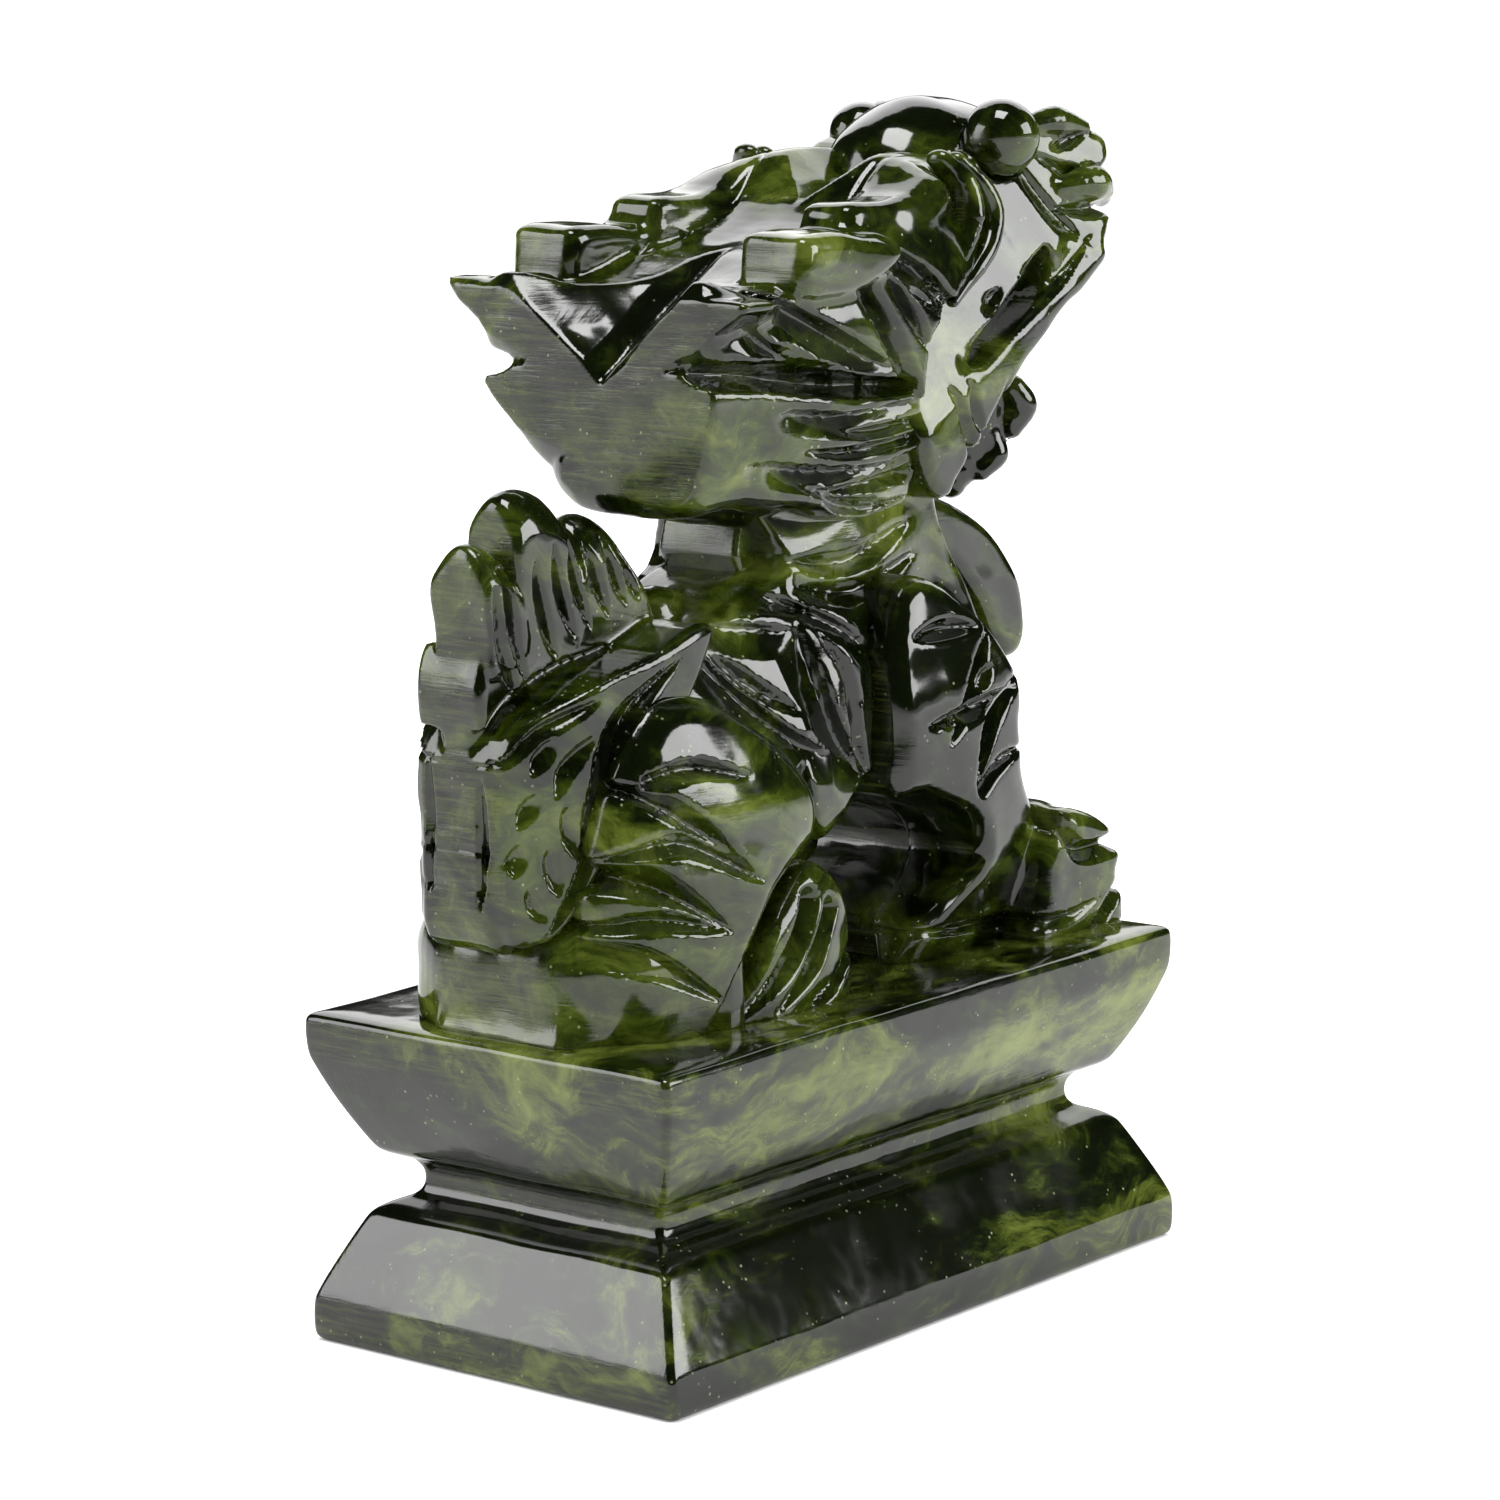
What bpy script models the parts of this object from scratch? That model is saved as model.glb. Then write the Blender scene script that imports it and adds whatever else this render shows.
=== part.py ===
"""Carved jade guardian beast seated on a stepped pedestal.

The beast faces -Y, its left side is +X and +Z is up. The origin is the middle of the pedestal's underside.
Side outlines are drawn in millimetres as (forward, height above the pedestal's top) and thickened across X.
"""

import math

import bmesh
import bpy
from mathutils import Vector
from mathutils.geometry import delaunay_2d_cdt

MM = 0.001

# ---- pedestal, millimetres ----
PEDESTAL_LENGTH = 83.7
PEDESTAL_WIDTH = 48.0
FOOT_EDGE_HEIGHT = 4.0      # upright band at the very bottom
FOOT_HEIGHT = 14.8          # top of the lower tier
WAIST_TOP = 18.5            # underside of the upper slab
SLAB_EDGE_BOTTOM = 29.5     # where the slab's slope ends
PEDESTAL_HEIGHT = 34.0
WAIST_INSET = 8.0           # how far the waist stands back from the edge
SLOPE_INSET = 5.2           # how far the slopes run in
EDGE_ROUND = 1.0
CORNER_ROUND = 1.2

# ---- figure, millimetres ----
FIGURE_LENGTH = 84.0        # tail face to muzzle and toes
FIGURE_HEIGHT = 87.3        # pedestal top to crown
CORE_WIDTH = 16.0           # middle of the body, between the limbs
BARREL_WIDTH = 29.0         # across the flanks
HAUNCH_SPAN = 35.0          # across both haunches
FORELEG_SPAN = 34.4
TAIL_WIDTH = 10.0
MANE_WIDTH = 35.0
HEAD_WIDTH = 30.0
CROWN_WIDTH = 15.0
EAR_SPAN = 37.0             # across the outsides of both ears
EAR_SEAT = 26.0             # between the two pockets that hold the ears
EYE_RADIUS = 3.8
EYE_SPACING = 20.0
BEARD_WIDTH = 9.0
NAPE_BLOCK_WIDTH = 9.6
NAPE_BLOCK_DEPTH = 3.8
JOINT_GAP = 0.3             # bedding line between neighbouring stones
CUT_PAST = 3.0              # how far a cutter runs past what it cuts

DRAWN_LENGTH = 84.0         # the outlines below are drawn for these two sizes
DRAWN_HEIGHT = 87.3

# ---- side outlines: (forward, height above the pedestal) ----
RUMP = [(-36.5, 0.0), (-37.6, 5.0), (-36.6, 10.2)]
TAIL_SEAM = [(-36.6, 10.2), (-33.0, 16.0), (-27.0, 27.0), (-20.5, 36.0), (-15.5, 39.6)]
SPINE = [(-15.5, 39.6), (-9.5, 40.2), (-3.6, 40.6)]
NECK_BACK = -3.6
NECK_TOP = 46.0
CHEST = [(19.0, 46.0), (24.0, 41.0), (29.5, 33.0), (31.0, 23.0), (29.0, 12.0), (28.5, 0.0)]
BELLY = [(13.5, 0.0), (12.6, 5.0), (15.2, 11.0), (12.6, 16.2), (7.0, 18.6), (1.0, 17.0),
         (-1.6, 11.0), (-1.6, 0.0)]
BARREL = [(-18.0, 36.0), (-10.0, 39.6), (4.0, 40.0), (9.0, 36.0), (8.0, 21.0), (2.0, 19.2), (-6.0, 20.0)]
HAUNCH = [(-1.4, 0.0), (-1.0, 8.0), (-2.6, 14.5), (-6.0, 20.0), (-7.6, 29.0), (-12.0, 36.4), (-20.0, 38.4),
          (-29.6, 32.6), (-35.6, 24.0), (-37.8, 13.0), (-36.6, 5.0), (-32.5, 0.0)]
FORELEG_FRONT = [(3.0, 34.0), (6.6, 40.4), (14.0, 41.4), (22.6, 36.4), (26.8, 27.0), (27.0, 18.6),
                 (30.0, 13.4),
                 (36.6, 11.6), (40.6, 7.6), (41.4, 0.0)]
FORELEG_BACK = [(13.5, 0.0), (12.6, 5.0), (15.2, 11.0), (12.6, 16.2), (7.0, 18.6), (2.4, 21.0),
                (1.4, 27.0), (3.0, 34.0)]
TAIL_FAN = [(-16.4, 40.6), (-17.6, 45.6), (-21.0, 49.2), (-25.0, 49.0), (-28.6, 49.6),
            (-32.3, 52.0), (-35.6, 49.4),
            (-38.0, 47.4), (-40.0, 48.0), (-41.3, 43.0)]
TAIL_BACK = [(-41.3, 43.0), (-41.6, 34.0), (-40.9, 24.0), (-41.2, 15.0), (-39.8, 10.6)]
FACE_SEAM = [(17.5, 46.3), (25.0, 81.6)]
MANE_TOP = [(25.0, 81.6), (10.0, 78.6), (-8.0, 74.8), (-20.0, 72.6), (-26.8, 71.2)]
MANE_BACK = [(-26.8, 71.2), (-26.8, 60.0), (-24.0, 54.0), (-18.0, 50.0)]
MANE_UNDER = [(-18.0, 50.0), (-11.0, 48.0), (0.0, 46.3)]
CHIN = [(17.5, 46.3), (23.6, 47.4), (29.0, 55.8), (36.6, 62.0), (40.6, 69.0)]
MUZZLE = [(40.6, 69.0), (41.2, 75.0), (40.2, 80.6), (37.0, 82.6), (25.0, 82.2)]
CROWN_CENTRE = (31.0, 80.2)
CROWN_RADII = (10.0, 7.1)
EYE_CENTRE = (31.0, 82.6)
EAR = [(24.0, 80.0), (27.4, 74.0), (25.0, 68.0), (19.6, 66.0), (16.6, 70.0), (18.6, 77.0)]
BEARD_OUTER = [(27.4, 45.6), (34.0, 43.0), (39.6, 37.6), (41.4, 32.0), (40.0, 28.4), (35.4, 29.0)]
BEARD_REST = [(31.0, 29.0), (29.5, 33.0), (24.0, 41.0)]     # the stretch of the chest that the beard lies on
NAPE_BLOCK_LOW = 41.2
NAPE_BLOCK_TOP = 46.4

HALF_CORE = CORE_WIDTH / 2


def clearScene():
    for thing in list(bpy.data.objects):
        bpy.data.objects.remove(thing, do_unlink=True)


def jadeMaterial(name, colour, roughness):
    material = bpy.data.materials.new(name)
    material.use_nodes = True
    shader = material.node_tree.nodes["Principled BSDF"]
    shader.inputs["Base Color"].default_value = (*colour, 1.0)
    shader.inputs["Roughness"].default_value = roughness
    shader.inputs["Metallic"].default_value = 0.0
    return material


def drawn(point):
    """Scale an outline's point from the drawn size to the figure's size."""
    return point[0] * FIGURE_LENGTH / DRAWN_LENGTH, point[1] * FIGURE_HEIGHT / DRAWN_HEIGHT


def place(across, forward, height):
    return Vector((across, -forward, height + PEDESTAL_HEIGHT)) * MM


def curveThrough(points, steps=3):
    """Smooth open curve through the points, without its last point."""
    points = [Vector(drawn(point)) for point in points]
    before = [points[0] * 2 - points[1]] + points[:-1]
    after = points[1:] + [points[-1] * 2 - points[-2]]
    samples = []
    for i in range(len(points) - 1):
        start, end = points[i], points[i + 1]
        leave = (end - before[i]) / 2
        arrive = (after[i + 1] - start) / 2
        for step in range(steps):
            t = step / steps
            samples.append(start * (2 * t**3 - 3 * t**2 + 1) + leave * (t**3 - 2 * t**2 + t)
                           + end * (3 * t**2 - 2 * t**3) + arrive * (t**3 - t**2))
    return samples


def liftFeet(outline):
    """Raise whatever stands on the pedestal by the bedding gap."""
    return [Vector((point.x, max(point.y, JOINT_GAP))) for point in outline]


def moved(outline, distance):
    """Offset a closed outline outwards by a distance, along the mean of its edge normals."""
    count = len(outline)
    area = sum(outline[i - 1].x * outline[i].y - outline[i].x * outline[i - 1].y for i in range(count))
    turn = 1.0 if area > 0 else -1.0
    result = []
    for i in range(count):
        into = (outline[i] - outline[i - 1]).normalized()
        out = (outline[(i + 1) % count] - outline[i]).normalized()
        normal = Vector((into.y + out.y, -into.x - out.x)).normalized() * turn
        stretch = max(normal.dot(Vector((into.y, -into.x)) * turn), 0.5)
        result.append(outline[i] + normal * distance / stretch)
    return result


def finishObject(name, mesh, material):
    thing = bpy.data.objects.new(name, mesh)
    bpy.context.collection.objects.link(thing)
    if material:
        mesh.materials.append(material)
        mesh.shade_smooth()
        mesh.set_sharp_from_angle(angle=math.radians(35))
    return thing


def meshFrom(bm, name):
    bmesh.ops.recalc_face_normals(bm, faces=bm.faces)
    mesh = bpy.data.meshes.new(name)
    bm.to_mesh(mesh)
    bm.free()
    return mesh


def cap(bm, ring, flat):
    """Fill a ring with triangles, reading its shape along the two axes given."""
    outline = [Vector((vert.co[flat[0]], vert.co[flat[1]])) / MM for vert in ring]
    filled = delaunay_2d_cdt(outline, [], [list(range(len(ring)))], 1, 1e-5)
    for triangle in filled[2]:
        bm.faces.new([ring[filled[3][i][0]] for i in triangle])


def skinRings(bm, rings, flat):
    """Close a stack of equal rings with side faces and two caps."""
    for lower, upper in zip(rings, rings[1:]):
        for i in range(len(lower)):
            j = (i + 1) % len(lower)
            bm.faces.new((lower[i], lower[j], upper[j], upper[i]))
    cap(bm, rings[0], flat)
    cap(bm, rings[-1], flat)


def slab(name, outline, low, high, material, lowRound=0.0, highRound=0.0, steps=2):
    """Solid between two planes across X, with its rims rounded to the given radii."""
    levels = []
    for across, radius, inward in ((low, lowRound, 1), (high, highRound, -1)):
        rim = []
        for step in range(steps + 1 if radius else 1):
            angle = math.radians(90) * step / steps
            rim.append((across + inward * radius * (1 - math.sin(angle)), -radius * (1 - math.cos(angle))))
        levels.append(rim)
    bm = bmesh.new()
    rings = []
    for across, inset in reversed(levels[0]):
        rings.append([bm.verts.new(place(across, point.x, point.y)) for point in moved(outline, inset)])
    for across, inset in levels[1]:
        rings.append([bm.verts.new(place(across, point.x, point.y)) for point in moved(outline, inset)])
    skinRings(bm, rings, (1, 2))
    return finishObject(name, meshFrom(bm, name), material)


def ball(name, centre, radii, material, segments=16):
    bm = bmesh.new()
    bmesh.ops.create_uvsphere(bm, u_segments=segments, v_segments=segments // 2, radius=1.0)
    for vert in bm.verts:
        vert.co = centre + Vector((vert.co.x * radii[0], vert.co.y * radii[1], vert.co.z * radii[2])) * MM
    return finishObject(name, meshFrom(bm, name), material)


def combine(target, tool, operation):
    """Boolean with a helper object, which stays out of the finished figure."""
    tool.hide_render = True
    tool.display_type = "WIRE"
    modifier = target.modifiers.new(f"{operation.lower()}_{tool.name}", "BOOLEAN")
    modifier.operation = operation
    modifier.solver = "EXACT"
    modifier.object = tool


def makePedestal(material):
    """Stepped pedestal: stacked rounded rectangles, each given by its inset and height."""
    rings = [(EDGE_ROUND, 0.0), (0.0, EDGE_ROUND), (0.0, FOOT_EDGE_HEIGHT),
             (SLOPE_INSET - 0.8, FOOT_HEIGHT - 3.0),
             (SLOPE_INSET, FOOT_HEIGHT - 1.4), (WAIST_INSET, FOOT_HEIGHT),
             (WAIST_INSET + 0.2, WAIST_TOP - 1.8),
             (WAIST_INSET, WAIST_TOP), (SLOPE_INSET + 0.6, WAIST_TOP + 0.7),
             (SLOPE_INSET - 0.6, WAIST_TOP + 2.0),
             (0.3, SLAB_EDGE_BOTTOM), (0.0, PEDESTAL_HEIGHT - EDGE_ROUND), (EDGE_ROUND, PEDESTAL_HEIGHT)]
    bm = bmesh.new()
    loops = []
    for inset, height in rings:
        loop = []
        for turn in range(4):
            signX = (1, -1, -1, 1)[turn]
            signY = (1, 1, -1, -1)[turn]
            middle = Vector((signX * (PEDESTAL_WIDTH / 2 - inset - CORNER_ROUND),
                             signY * (PEDESTAL_LENGTH / 2 - inset - CORNER_ROUND)))
            for step in range(3):
                angle = math.radians(90 * turn + 45 * step)
                corner = middle + Vector((math.cos(angle), math.sin(angle))) * CORNER_ROUND
                loop.append(bm.verts.new(Vector((corner.x, corner.y, height)) * MM))
        loops.append(loop)
    skinRings(bm, loops, (0, 1))
    return finishObject("pedestal", meshFrom(bm, "pedestal"), material)


def corners(*points):
    return [Vector(drawn(point)) for point in points]


def bothSides(maker):
    """Run a maker for the left side (+1) and the right side (-1)."""
    return [maker(side, word) for side, word in ((1, "left"), (-1, "right"))]


def sideSlab(name, outline, inner, outer, side, material, edge, steps=2):
    low, high = sorted((side * inner, side * outer))
    rounds = (0.0, edge) if side > 0 else (edge, 0.0)
    return slab(name, outline, low, high, material, rounds[0], rounds[1], steps)


def pocket(target, name, outline, inner, outer):
    """Cut room for a side stone out of both flanks of a target."""
    grown = moved(outline, JOINT_GAP)
    for side, word in ((1, "left"), (-1, "right")):
        low, high = sorted((side * inner, side * (outer + CUT_PAST)))
        combine(target, slab(f"cut_{name}_{word}", grown, low, high, None), "DIFFERENCE")


def makeTorso(material, haunch, foreleg):
    outline = liftFeet(curveThrough(RUMP) + curveThrough(TAIL_SEAM) + curveThrough(SPINE)
                       + corners((NECK_BACK, SPINE[-1][1]), (NECK_BACK, NECK_TOP))
                       + curveThrough(CHEST) + corners(CHEST[-1]) + curveThrough(BELLY) + corners(BELLY[-1]))
    torso = slab("torso", outline, -HALF_CORE, HALF_CORE, material)
    flanks = slab("shape_flanks", curveThrough(BARREL + BARREL[:1]),
                  -BARREL_WIDTH / 2, BARREL_WIDTH / 2, None,
                  1.5, 1.5)
    for name, limb in (("haunch", haunch), ("foreleg", foreleg)):
        cutter = slab(f"cut_{name}", moved(limb, JOINT_GAP), -BARREL_WIDTH, BARREL_WIDTH, None)
        combine(flanks, cutter, "DIFFERENCE")
    combine(torso, flanks, "UNION")
    return torso


def makeTail(material):
    fan = curveThrough(TAIL_FAN) + curveThrough(TAIL_BACK) + corners(TAIL_BACK[-1])
    seam = curveThrough(TAIL_SEAM) + corners(TAIL_SEAM[-1])
    bedded = []
    for i, point in enumerate(seam):
        along = (seam[min(i + 1, len(seam) - 1)] - seam[max(i - 1, 0)]).normalized()
        bedded.append(point + Vector((-along.y, along.x)) * JOINT_GAP)
    return slab("tail", fan + bedded, -TAIL_WIDTH / 2, TAIL_WIDTH / 2, material, 0.6, 0.6)


def makeMane(material, ear):
    outline = (corners(FACE_SEAM[0]) + curveThrough(MANE_TOP) + curveThrough(MANE_BACK)
               + curveThrough(MANE_UNDER) + corners(MANE_UNDER[-1]))
    mane = slab("mane", outline, -MANE_WIDTH / 2, MANE_WIDTH / 2, material, 2.0, 2.0, 3)
    pocket(mane, "ear_mane", ear, EAR_SEAT / 2, EAR_SPAN / 2)
    return mane


def eyeCentre(side):
    forward, height = drawn(EYE_CENTRE)
    return place(side * EYE_SPACING / 2, forward, height)


def makeHead(material, ear):
    outline = curveThrough(CHIN) + curveThrough(MUZZLE) + corners(MUZZLE[-1])
    outline = [Vector((point.x + JOINT_GAP, point.y)) for point in outline]
    head = slab("head", outline, -HEAD_WIDTH / 2, HEAD_WIDTH / 2, material, 1.2, 1.2)
    forward, height = drawn(CROWN_CENTRE)
    crown = ball("shape_crown", place(0.0, forward, height), (CROWN_WIDTH / 2, *CROWN_RADII), None, 20)
    combine(crown, seamCutter(), "DIFFERENCE")
    combine(head, crown, "UNION")
    pocket(head, "ear_head", ear, EAR_SEAT / 2, EAR_SPAN / 2)
    for side, word in ((1, "left"), (-1, "right")):
        reach = EYE_RADIUS + JOINT_GAP
        combine(head, ball(f"cut_socket_{word}", eyeCentre(side), (reach,) * 3, None), "DIFFERENCE")
    return head


def seamCutter():
    """Everything behind the face seam and a little ahead of it, so the crown can't reach into the mane."""
    low, high = corners(*FACE_SEAM)
    along = (high - low).normalized()
    nudge = Vector((JOINT_GAP * 3, 0.0))
    back = Vector((-CROWN_RADII[0] * 2, 0.0))
    bottom = low + nudge - along * CUT_PAST
    top = high + nudge + along * CROWN_RADII[1] * 2
    return slab("cut_face_seam", [bottom, top, top + back, bottom + back], -MANE_WIDTH, MANE_WIDTH, None)


def makeBeard(material):
    rest = curveThrough(BEARD_REST) + corners(BEARD_REST[-1])
    bedded = []
    for i, point in enumerate(rest):
        along = (rest[min(i + 1, len(rest) - 1)] - rest[max(i - 1, 0)]).normalized()
        bedded.append(point + Vector((along.y, -along.x)) * JOINT_GAP * 2)
    outer = curveThrough(BEARD_OUTER) + corners(BEARD_OUTER[-1])
    return slab("beard", outer + bedded, -BEARD_WIDTH / 2, BEARD_WIDTH / 2, material, 1.0, 1.0)


def makeNapeBlock(material):
    back, low = drawn((NECK_BACK, NAPE_BLOCK_LOW))
    top = drawn((0.0, NAPE_BLOCK_TOP))[1]
    front = back - JOINT_GAP
    outline = [Vector((front, low)), Vector((front, top)), Vector((front - NAPE_BLOCK_DEPTH, top - 0.6)),
               Vector((front - NAPE_BLOCK_DEPTH, low + 0.6))]
    return slab("nape_block", outline, -NAPE_BLOCK_WIDTH / 2, NAPE_BLOCK_WIDTH / 2, material, 0.8, 0.8, 1)


def main():
    clearScene()
    plinthJade = jadeMaterial("plinth_jade", (0.036, 0.058, 0.014), 0.12)
    beastJade = jadeMaterial("beast_jade", (0.030, 0.052, 0.010), 0.1)
    eyeJade = jadeMaterial("polished_jade", (0.024, 0.040, 0.010), 0.06)

    haunch = liftFeet(curveThrough(HAUNCH) + corners(HAUNCH[-1]))
    foreleg = liftFeet(curveThrough(FORELEG_BACK) + curveThrough(FORELEG_FRONT) + corners(FORELEG_FRONT[-1]))
    ear = curveThrough(EAR + EAR[:1])
    limbSeat = HALF_CORE + JOINT_GAP

    makePedestal(plinthJade)
    makeTorso(beastJade, haunch, foreleg)
    makeTail(beastJade)
    makeMane(beastJade, ear)
    makeHead(beastJade, ear)
    makeBeard(beastJade)
    makeNapeBlock(beastJade)
    bothSides(lambda side, word: sideSlab(f"haunch_{word}", haunch, limbSeat, HAUNCH_SPAN / 2, side,
                                          beastJade, 2.0, 3))
    bothSides(lambda side, word: sideSlab(f"foreleg_{word}", foreleg, limbSeat, FORELEG_SPAN / 2, side,
                                          beastJade, 1.2))
    bothSides(lambda side, word: sideSlab(f"ear_{word}", ear, EAR_SEAT / 2 + JOINT_GAP, EAR_SPAN / 2, side,
                                          beastJade, 1.0))
    bothSides(lambda side, word: ball(f"eye_{word}", eyeCentre(side), (EYE_RADIUS,) * 3, eyeJade))


main()
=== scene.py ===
import math

import bpy
import numpy as np
from mathutils import Matrix, Vector


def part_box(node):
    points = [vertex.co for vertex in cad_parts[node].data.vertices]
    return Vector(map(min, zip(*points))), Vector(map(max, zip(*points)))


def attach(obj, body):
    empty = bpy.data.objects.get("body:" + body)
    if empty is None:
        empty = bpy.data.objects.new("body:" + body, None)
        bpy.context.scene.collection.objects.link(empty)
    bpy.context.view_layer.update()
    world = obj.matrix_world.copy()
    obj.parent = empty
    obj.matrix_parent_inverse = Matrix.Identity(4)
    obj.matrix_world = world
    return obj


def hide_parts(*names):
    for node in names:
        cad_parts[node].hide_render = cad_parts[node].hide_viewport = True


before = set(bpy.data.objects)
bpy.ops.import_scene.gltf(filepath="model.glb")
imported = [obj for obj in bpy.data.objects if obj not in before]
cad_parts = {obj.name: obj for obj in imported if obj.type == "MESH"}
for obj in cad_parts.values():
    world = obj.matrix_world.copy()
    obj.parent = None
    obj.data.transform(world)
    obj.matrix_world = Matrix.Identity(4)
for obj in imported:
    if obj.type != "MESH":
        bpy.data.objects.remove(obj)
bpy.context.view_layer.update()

# The beast is carved in millimetres as (forward, side, up): forward is -Y, side is +X (its left), up is +Z.

mm = 0.001
pedestalLow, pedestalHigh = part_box("pedestal")
slabTop = pedestalHigh[2] / mm
grainScale = 1.0
handWaver = 0.09      # how far a hand-ground face strays
shelfWall = 0.45      # width of the wall of a one-sided cut
sunk = 0.25           # how far the figure's feet go into the pedestal


def smoothMax(a, b, blend):
    share = np.clip(0.5 + 0.5 * (a - b) / blend, 0, 1)
    return b + (a - b) * share + blend * share * (1 - share)


def smoothMin(a, b, blend):
    return -smoothMax(-a, -b, blend)


def through(points, steps=6, closed=False):
    # smooth curve through a few points, kept inside them at the ends
    p = np.array(points, dtype=float)
    if closed:
        p = np.vstack([p[-1], p, p[0], p[1]])
    else:
        p = np.vstack([2 * p[0] - p[1], p, 2 * p[-1] - p[-2]])
    t = np.linspace(0, 1, steps, endpoint=False)[:, None]
    runs = []
    for a, b, c, d in zip(p, p[1:], p[2:], p[3:]):
        square = (2 * a - 5 * b + 4 * c - d) * t ** 2
        cube = (3 * b - a - 3 * c + d) * t ** 3
        runs.append(0.5 * (2 * b + (c - a) * t + square + cube))
    curve = np.vstack(runs)
    return curve if closed else np.vstack([curve, p[-2]])


def ring(points, steps=4):
    return through(points, steps, closed=True)


def alongLine(u, v, line):
    # distance from each (u, v) to a line of points, and how far along it the nearest point is, 0 to 1
    line = np.asarray(line, dtype=np.float32)
    lengths = np.hypot(*np.diff(line, axis=0).T)
    starts = np.concatenate([[0], np.cumsum(lengths)])
    best = np.full(np.broadcast(u, v).shape, 1e6, dtype=np.float32)
    where = np.zeros_like(best)
    for a, b, length, start in zip(line, line[1:], lengths, starts):
        du, dv = b - a
        t = np.clip(((u - a[0]) * du + (v - a[1]) * dv) / max(length ** 2, 1e-9), 0, 1)
        d = np.hypot(u - a[0] - t * du, v - a[1] - t * dv)
        nearer = d < best
        best = np.where(nearer, d, best)
        where = np.where(nearer, (start + t * length) / starts[-1], where)
    return best, where


def flatShape(u, v, outline):
    # signed distance to a closed outline in a plane
    edge = alongLine(u, v, np.vstack([outline, outline[:1]]))[0]
    inside = np.zeros(edge.shape, dtype=bool)
    for a, b in zip(outline, np.roll(outline, -1, axis=0)):
        if a[1] == b[1]:
            continue
        crosses = (a[1] > v) != (b[1] > v)
        inside ^= crosses & (u < (b[0] - a[0]) * (v - a[1]) / (b[1] - a[1]) + a[0])
    return np.where(inside, -edge, edge)


class Stone:
    # one block of stone under the chisel: a grid of distances that shapes are joined to and cut from

    def __init__(self, low, high, grain):
        self.grain = grain * grainScale
        axes = [np.arange(a, b + self.grain, self.grain, dtype=np.float32) for a, b in zip(low, high)]
        self.low = np.array(low, dtype=float)
        self.f = axes[0][:, None, None]
        self.s = axes[1][None, :, None]
        self.z = axes[2][None, None, :]
        self.field = np.full([len(axis) for axis in axes], 50.0, dtype=np.float32)

    def join(self, shape, blend=0.6):
        self.field = smoothMin(self.field, shape, blend)

    def cut(self, shape, blend=0.4):
        self.field = smoothMax(self.field, -shape, blend)

    def keep(self, shape, blend=0.6):
        self.field = smoothMax(self.field, shape, blend)

    def ball(self, centre, radii):
        radii = np.broadcast_to(radii, 3)
        parts = [(axis - c) / r for axis, c, r in zip((self.f, self.s, self.z), centre, radii)]
        near = np.sqrt(sum(part ** 2 for part in parts))
        slope = np.sqrt(sum((part / r) ** 2 for part, r in zip(parts, radii)))
        return near * (near - 1) / np.maximum(slope, 1e-6)

    def rounded(self, flat, thick, radius):
        # meet of a flat shape and a thickness with a rounded rim
        a, b = flat + radius, thick + radius
        return np.hypot(np.maximum(a, 0), np.maximum(b, 0)) + np.minimum(np.maximum(a, b), 0) - radius

    def sideShape(self, outline):
        return flatShape(self.f[:, :, 0], self.z[0], outline)[:, None, :]

    def planShape(self, outline):
        return flatShape(self.f[:, :, 0], self.s[0, :, 0][None, :], outline)[:, :, None]

    def backShape(self, outline):
        return flatShape(self.s[0], self.z[0], outline)[None, :, :]

    def slab(self, outline, sideLow, sideHigh, radius, crown=None):
        # a side outline with thickness; crown is (forward, up, fall at 10 mm) of its bulge
        thick = np.abs(self.s - (sideLow + sideHigh) / 2) - (sideHigh - sideLow) / 2
        if crown:
            thick = thick + crown[2] * ((self.f - crown[0]) ** 2 + (self.z - crown[1]) ** 2) / 100
        return self.rounded(self.sideShape(outline), thick, radius)

    def wobble(self, height):
        # the slight waviness that grinding and polishing by hand leave
        waves = (np.sin(self.f * 0.83 + self.z * 0.31 + 0.4)
                 + np.sin(self.s * 0.91 - self.z * 0.52 + self.f * 0.2)
                 + np.sin(self.z * 0.98 + self.s * 0.43 + 1.3)
                 + 0.2 * np.sin(self.f * 1.7 - self.s * 1.3 + self.z * 1.1))
        self.field += height * waves / 2

    def bent(self, flat, lift):
        # a side shape sampled higher or lower, by an amount that changes with (side, up)
        place = np.clip((self.z[0] + lift - self.low[2]) / self.grain, 0, flat.shape[1] - 1.001)
        below = place.astype(int)
        part = place - below
        return flat[:, below] * (1 - part) + flat[:, below + 1] * part

    def limb(self, path, radii, spread=(1, 1, 1)):
        # tapered round stroke through (forward, side, up) points; spread widens it along each axis
        path = through(path, 4)
        radii = np.interp(np.linspace(0, 1, len(path)), np.linspace(0, 1, len(radii)), radii)
        best = np.full(self.field.shape, 50.0, dtype=np.float32)
        for a, b, ra, rb in zip(path, path[1:], radii, radii[1:]):
            step = b - a
            away = [self.f - a[0], self.s - a[1], self.z - a[2]]
            t = np.clip(sum(w * d for w, d in zip(away, step)) / max(step @ step, 1e-9), 0, 1)
            gap = [w - t * d for w, d in zip(away, step)]
            reach = np.sqrt(sum((g / w) ** 2 for g, w in zip(gap, spread)))
            best = np.minimum(best, reach - (ra + (rb - ra) * t))
        return best

    def plane(self, point, normal):
        n = Vector(normal).normalized()
        return (self.f - point[0]) * n[0] + (self.s - point[1]) * n[1] + (self.z - point[2]) * n[2]


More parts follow.
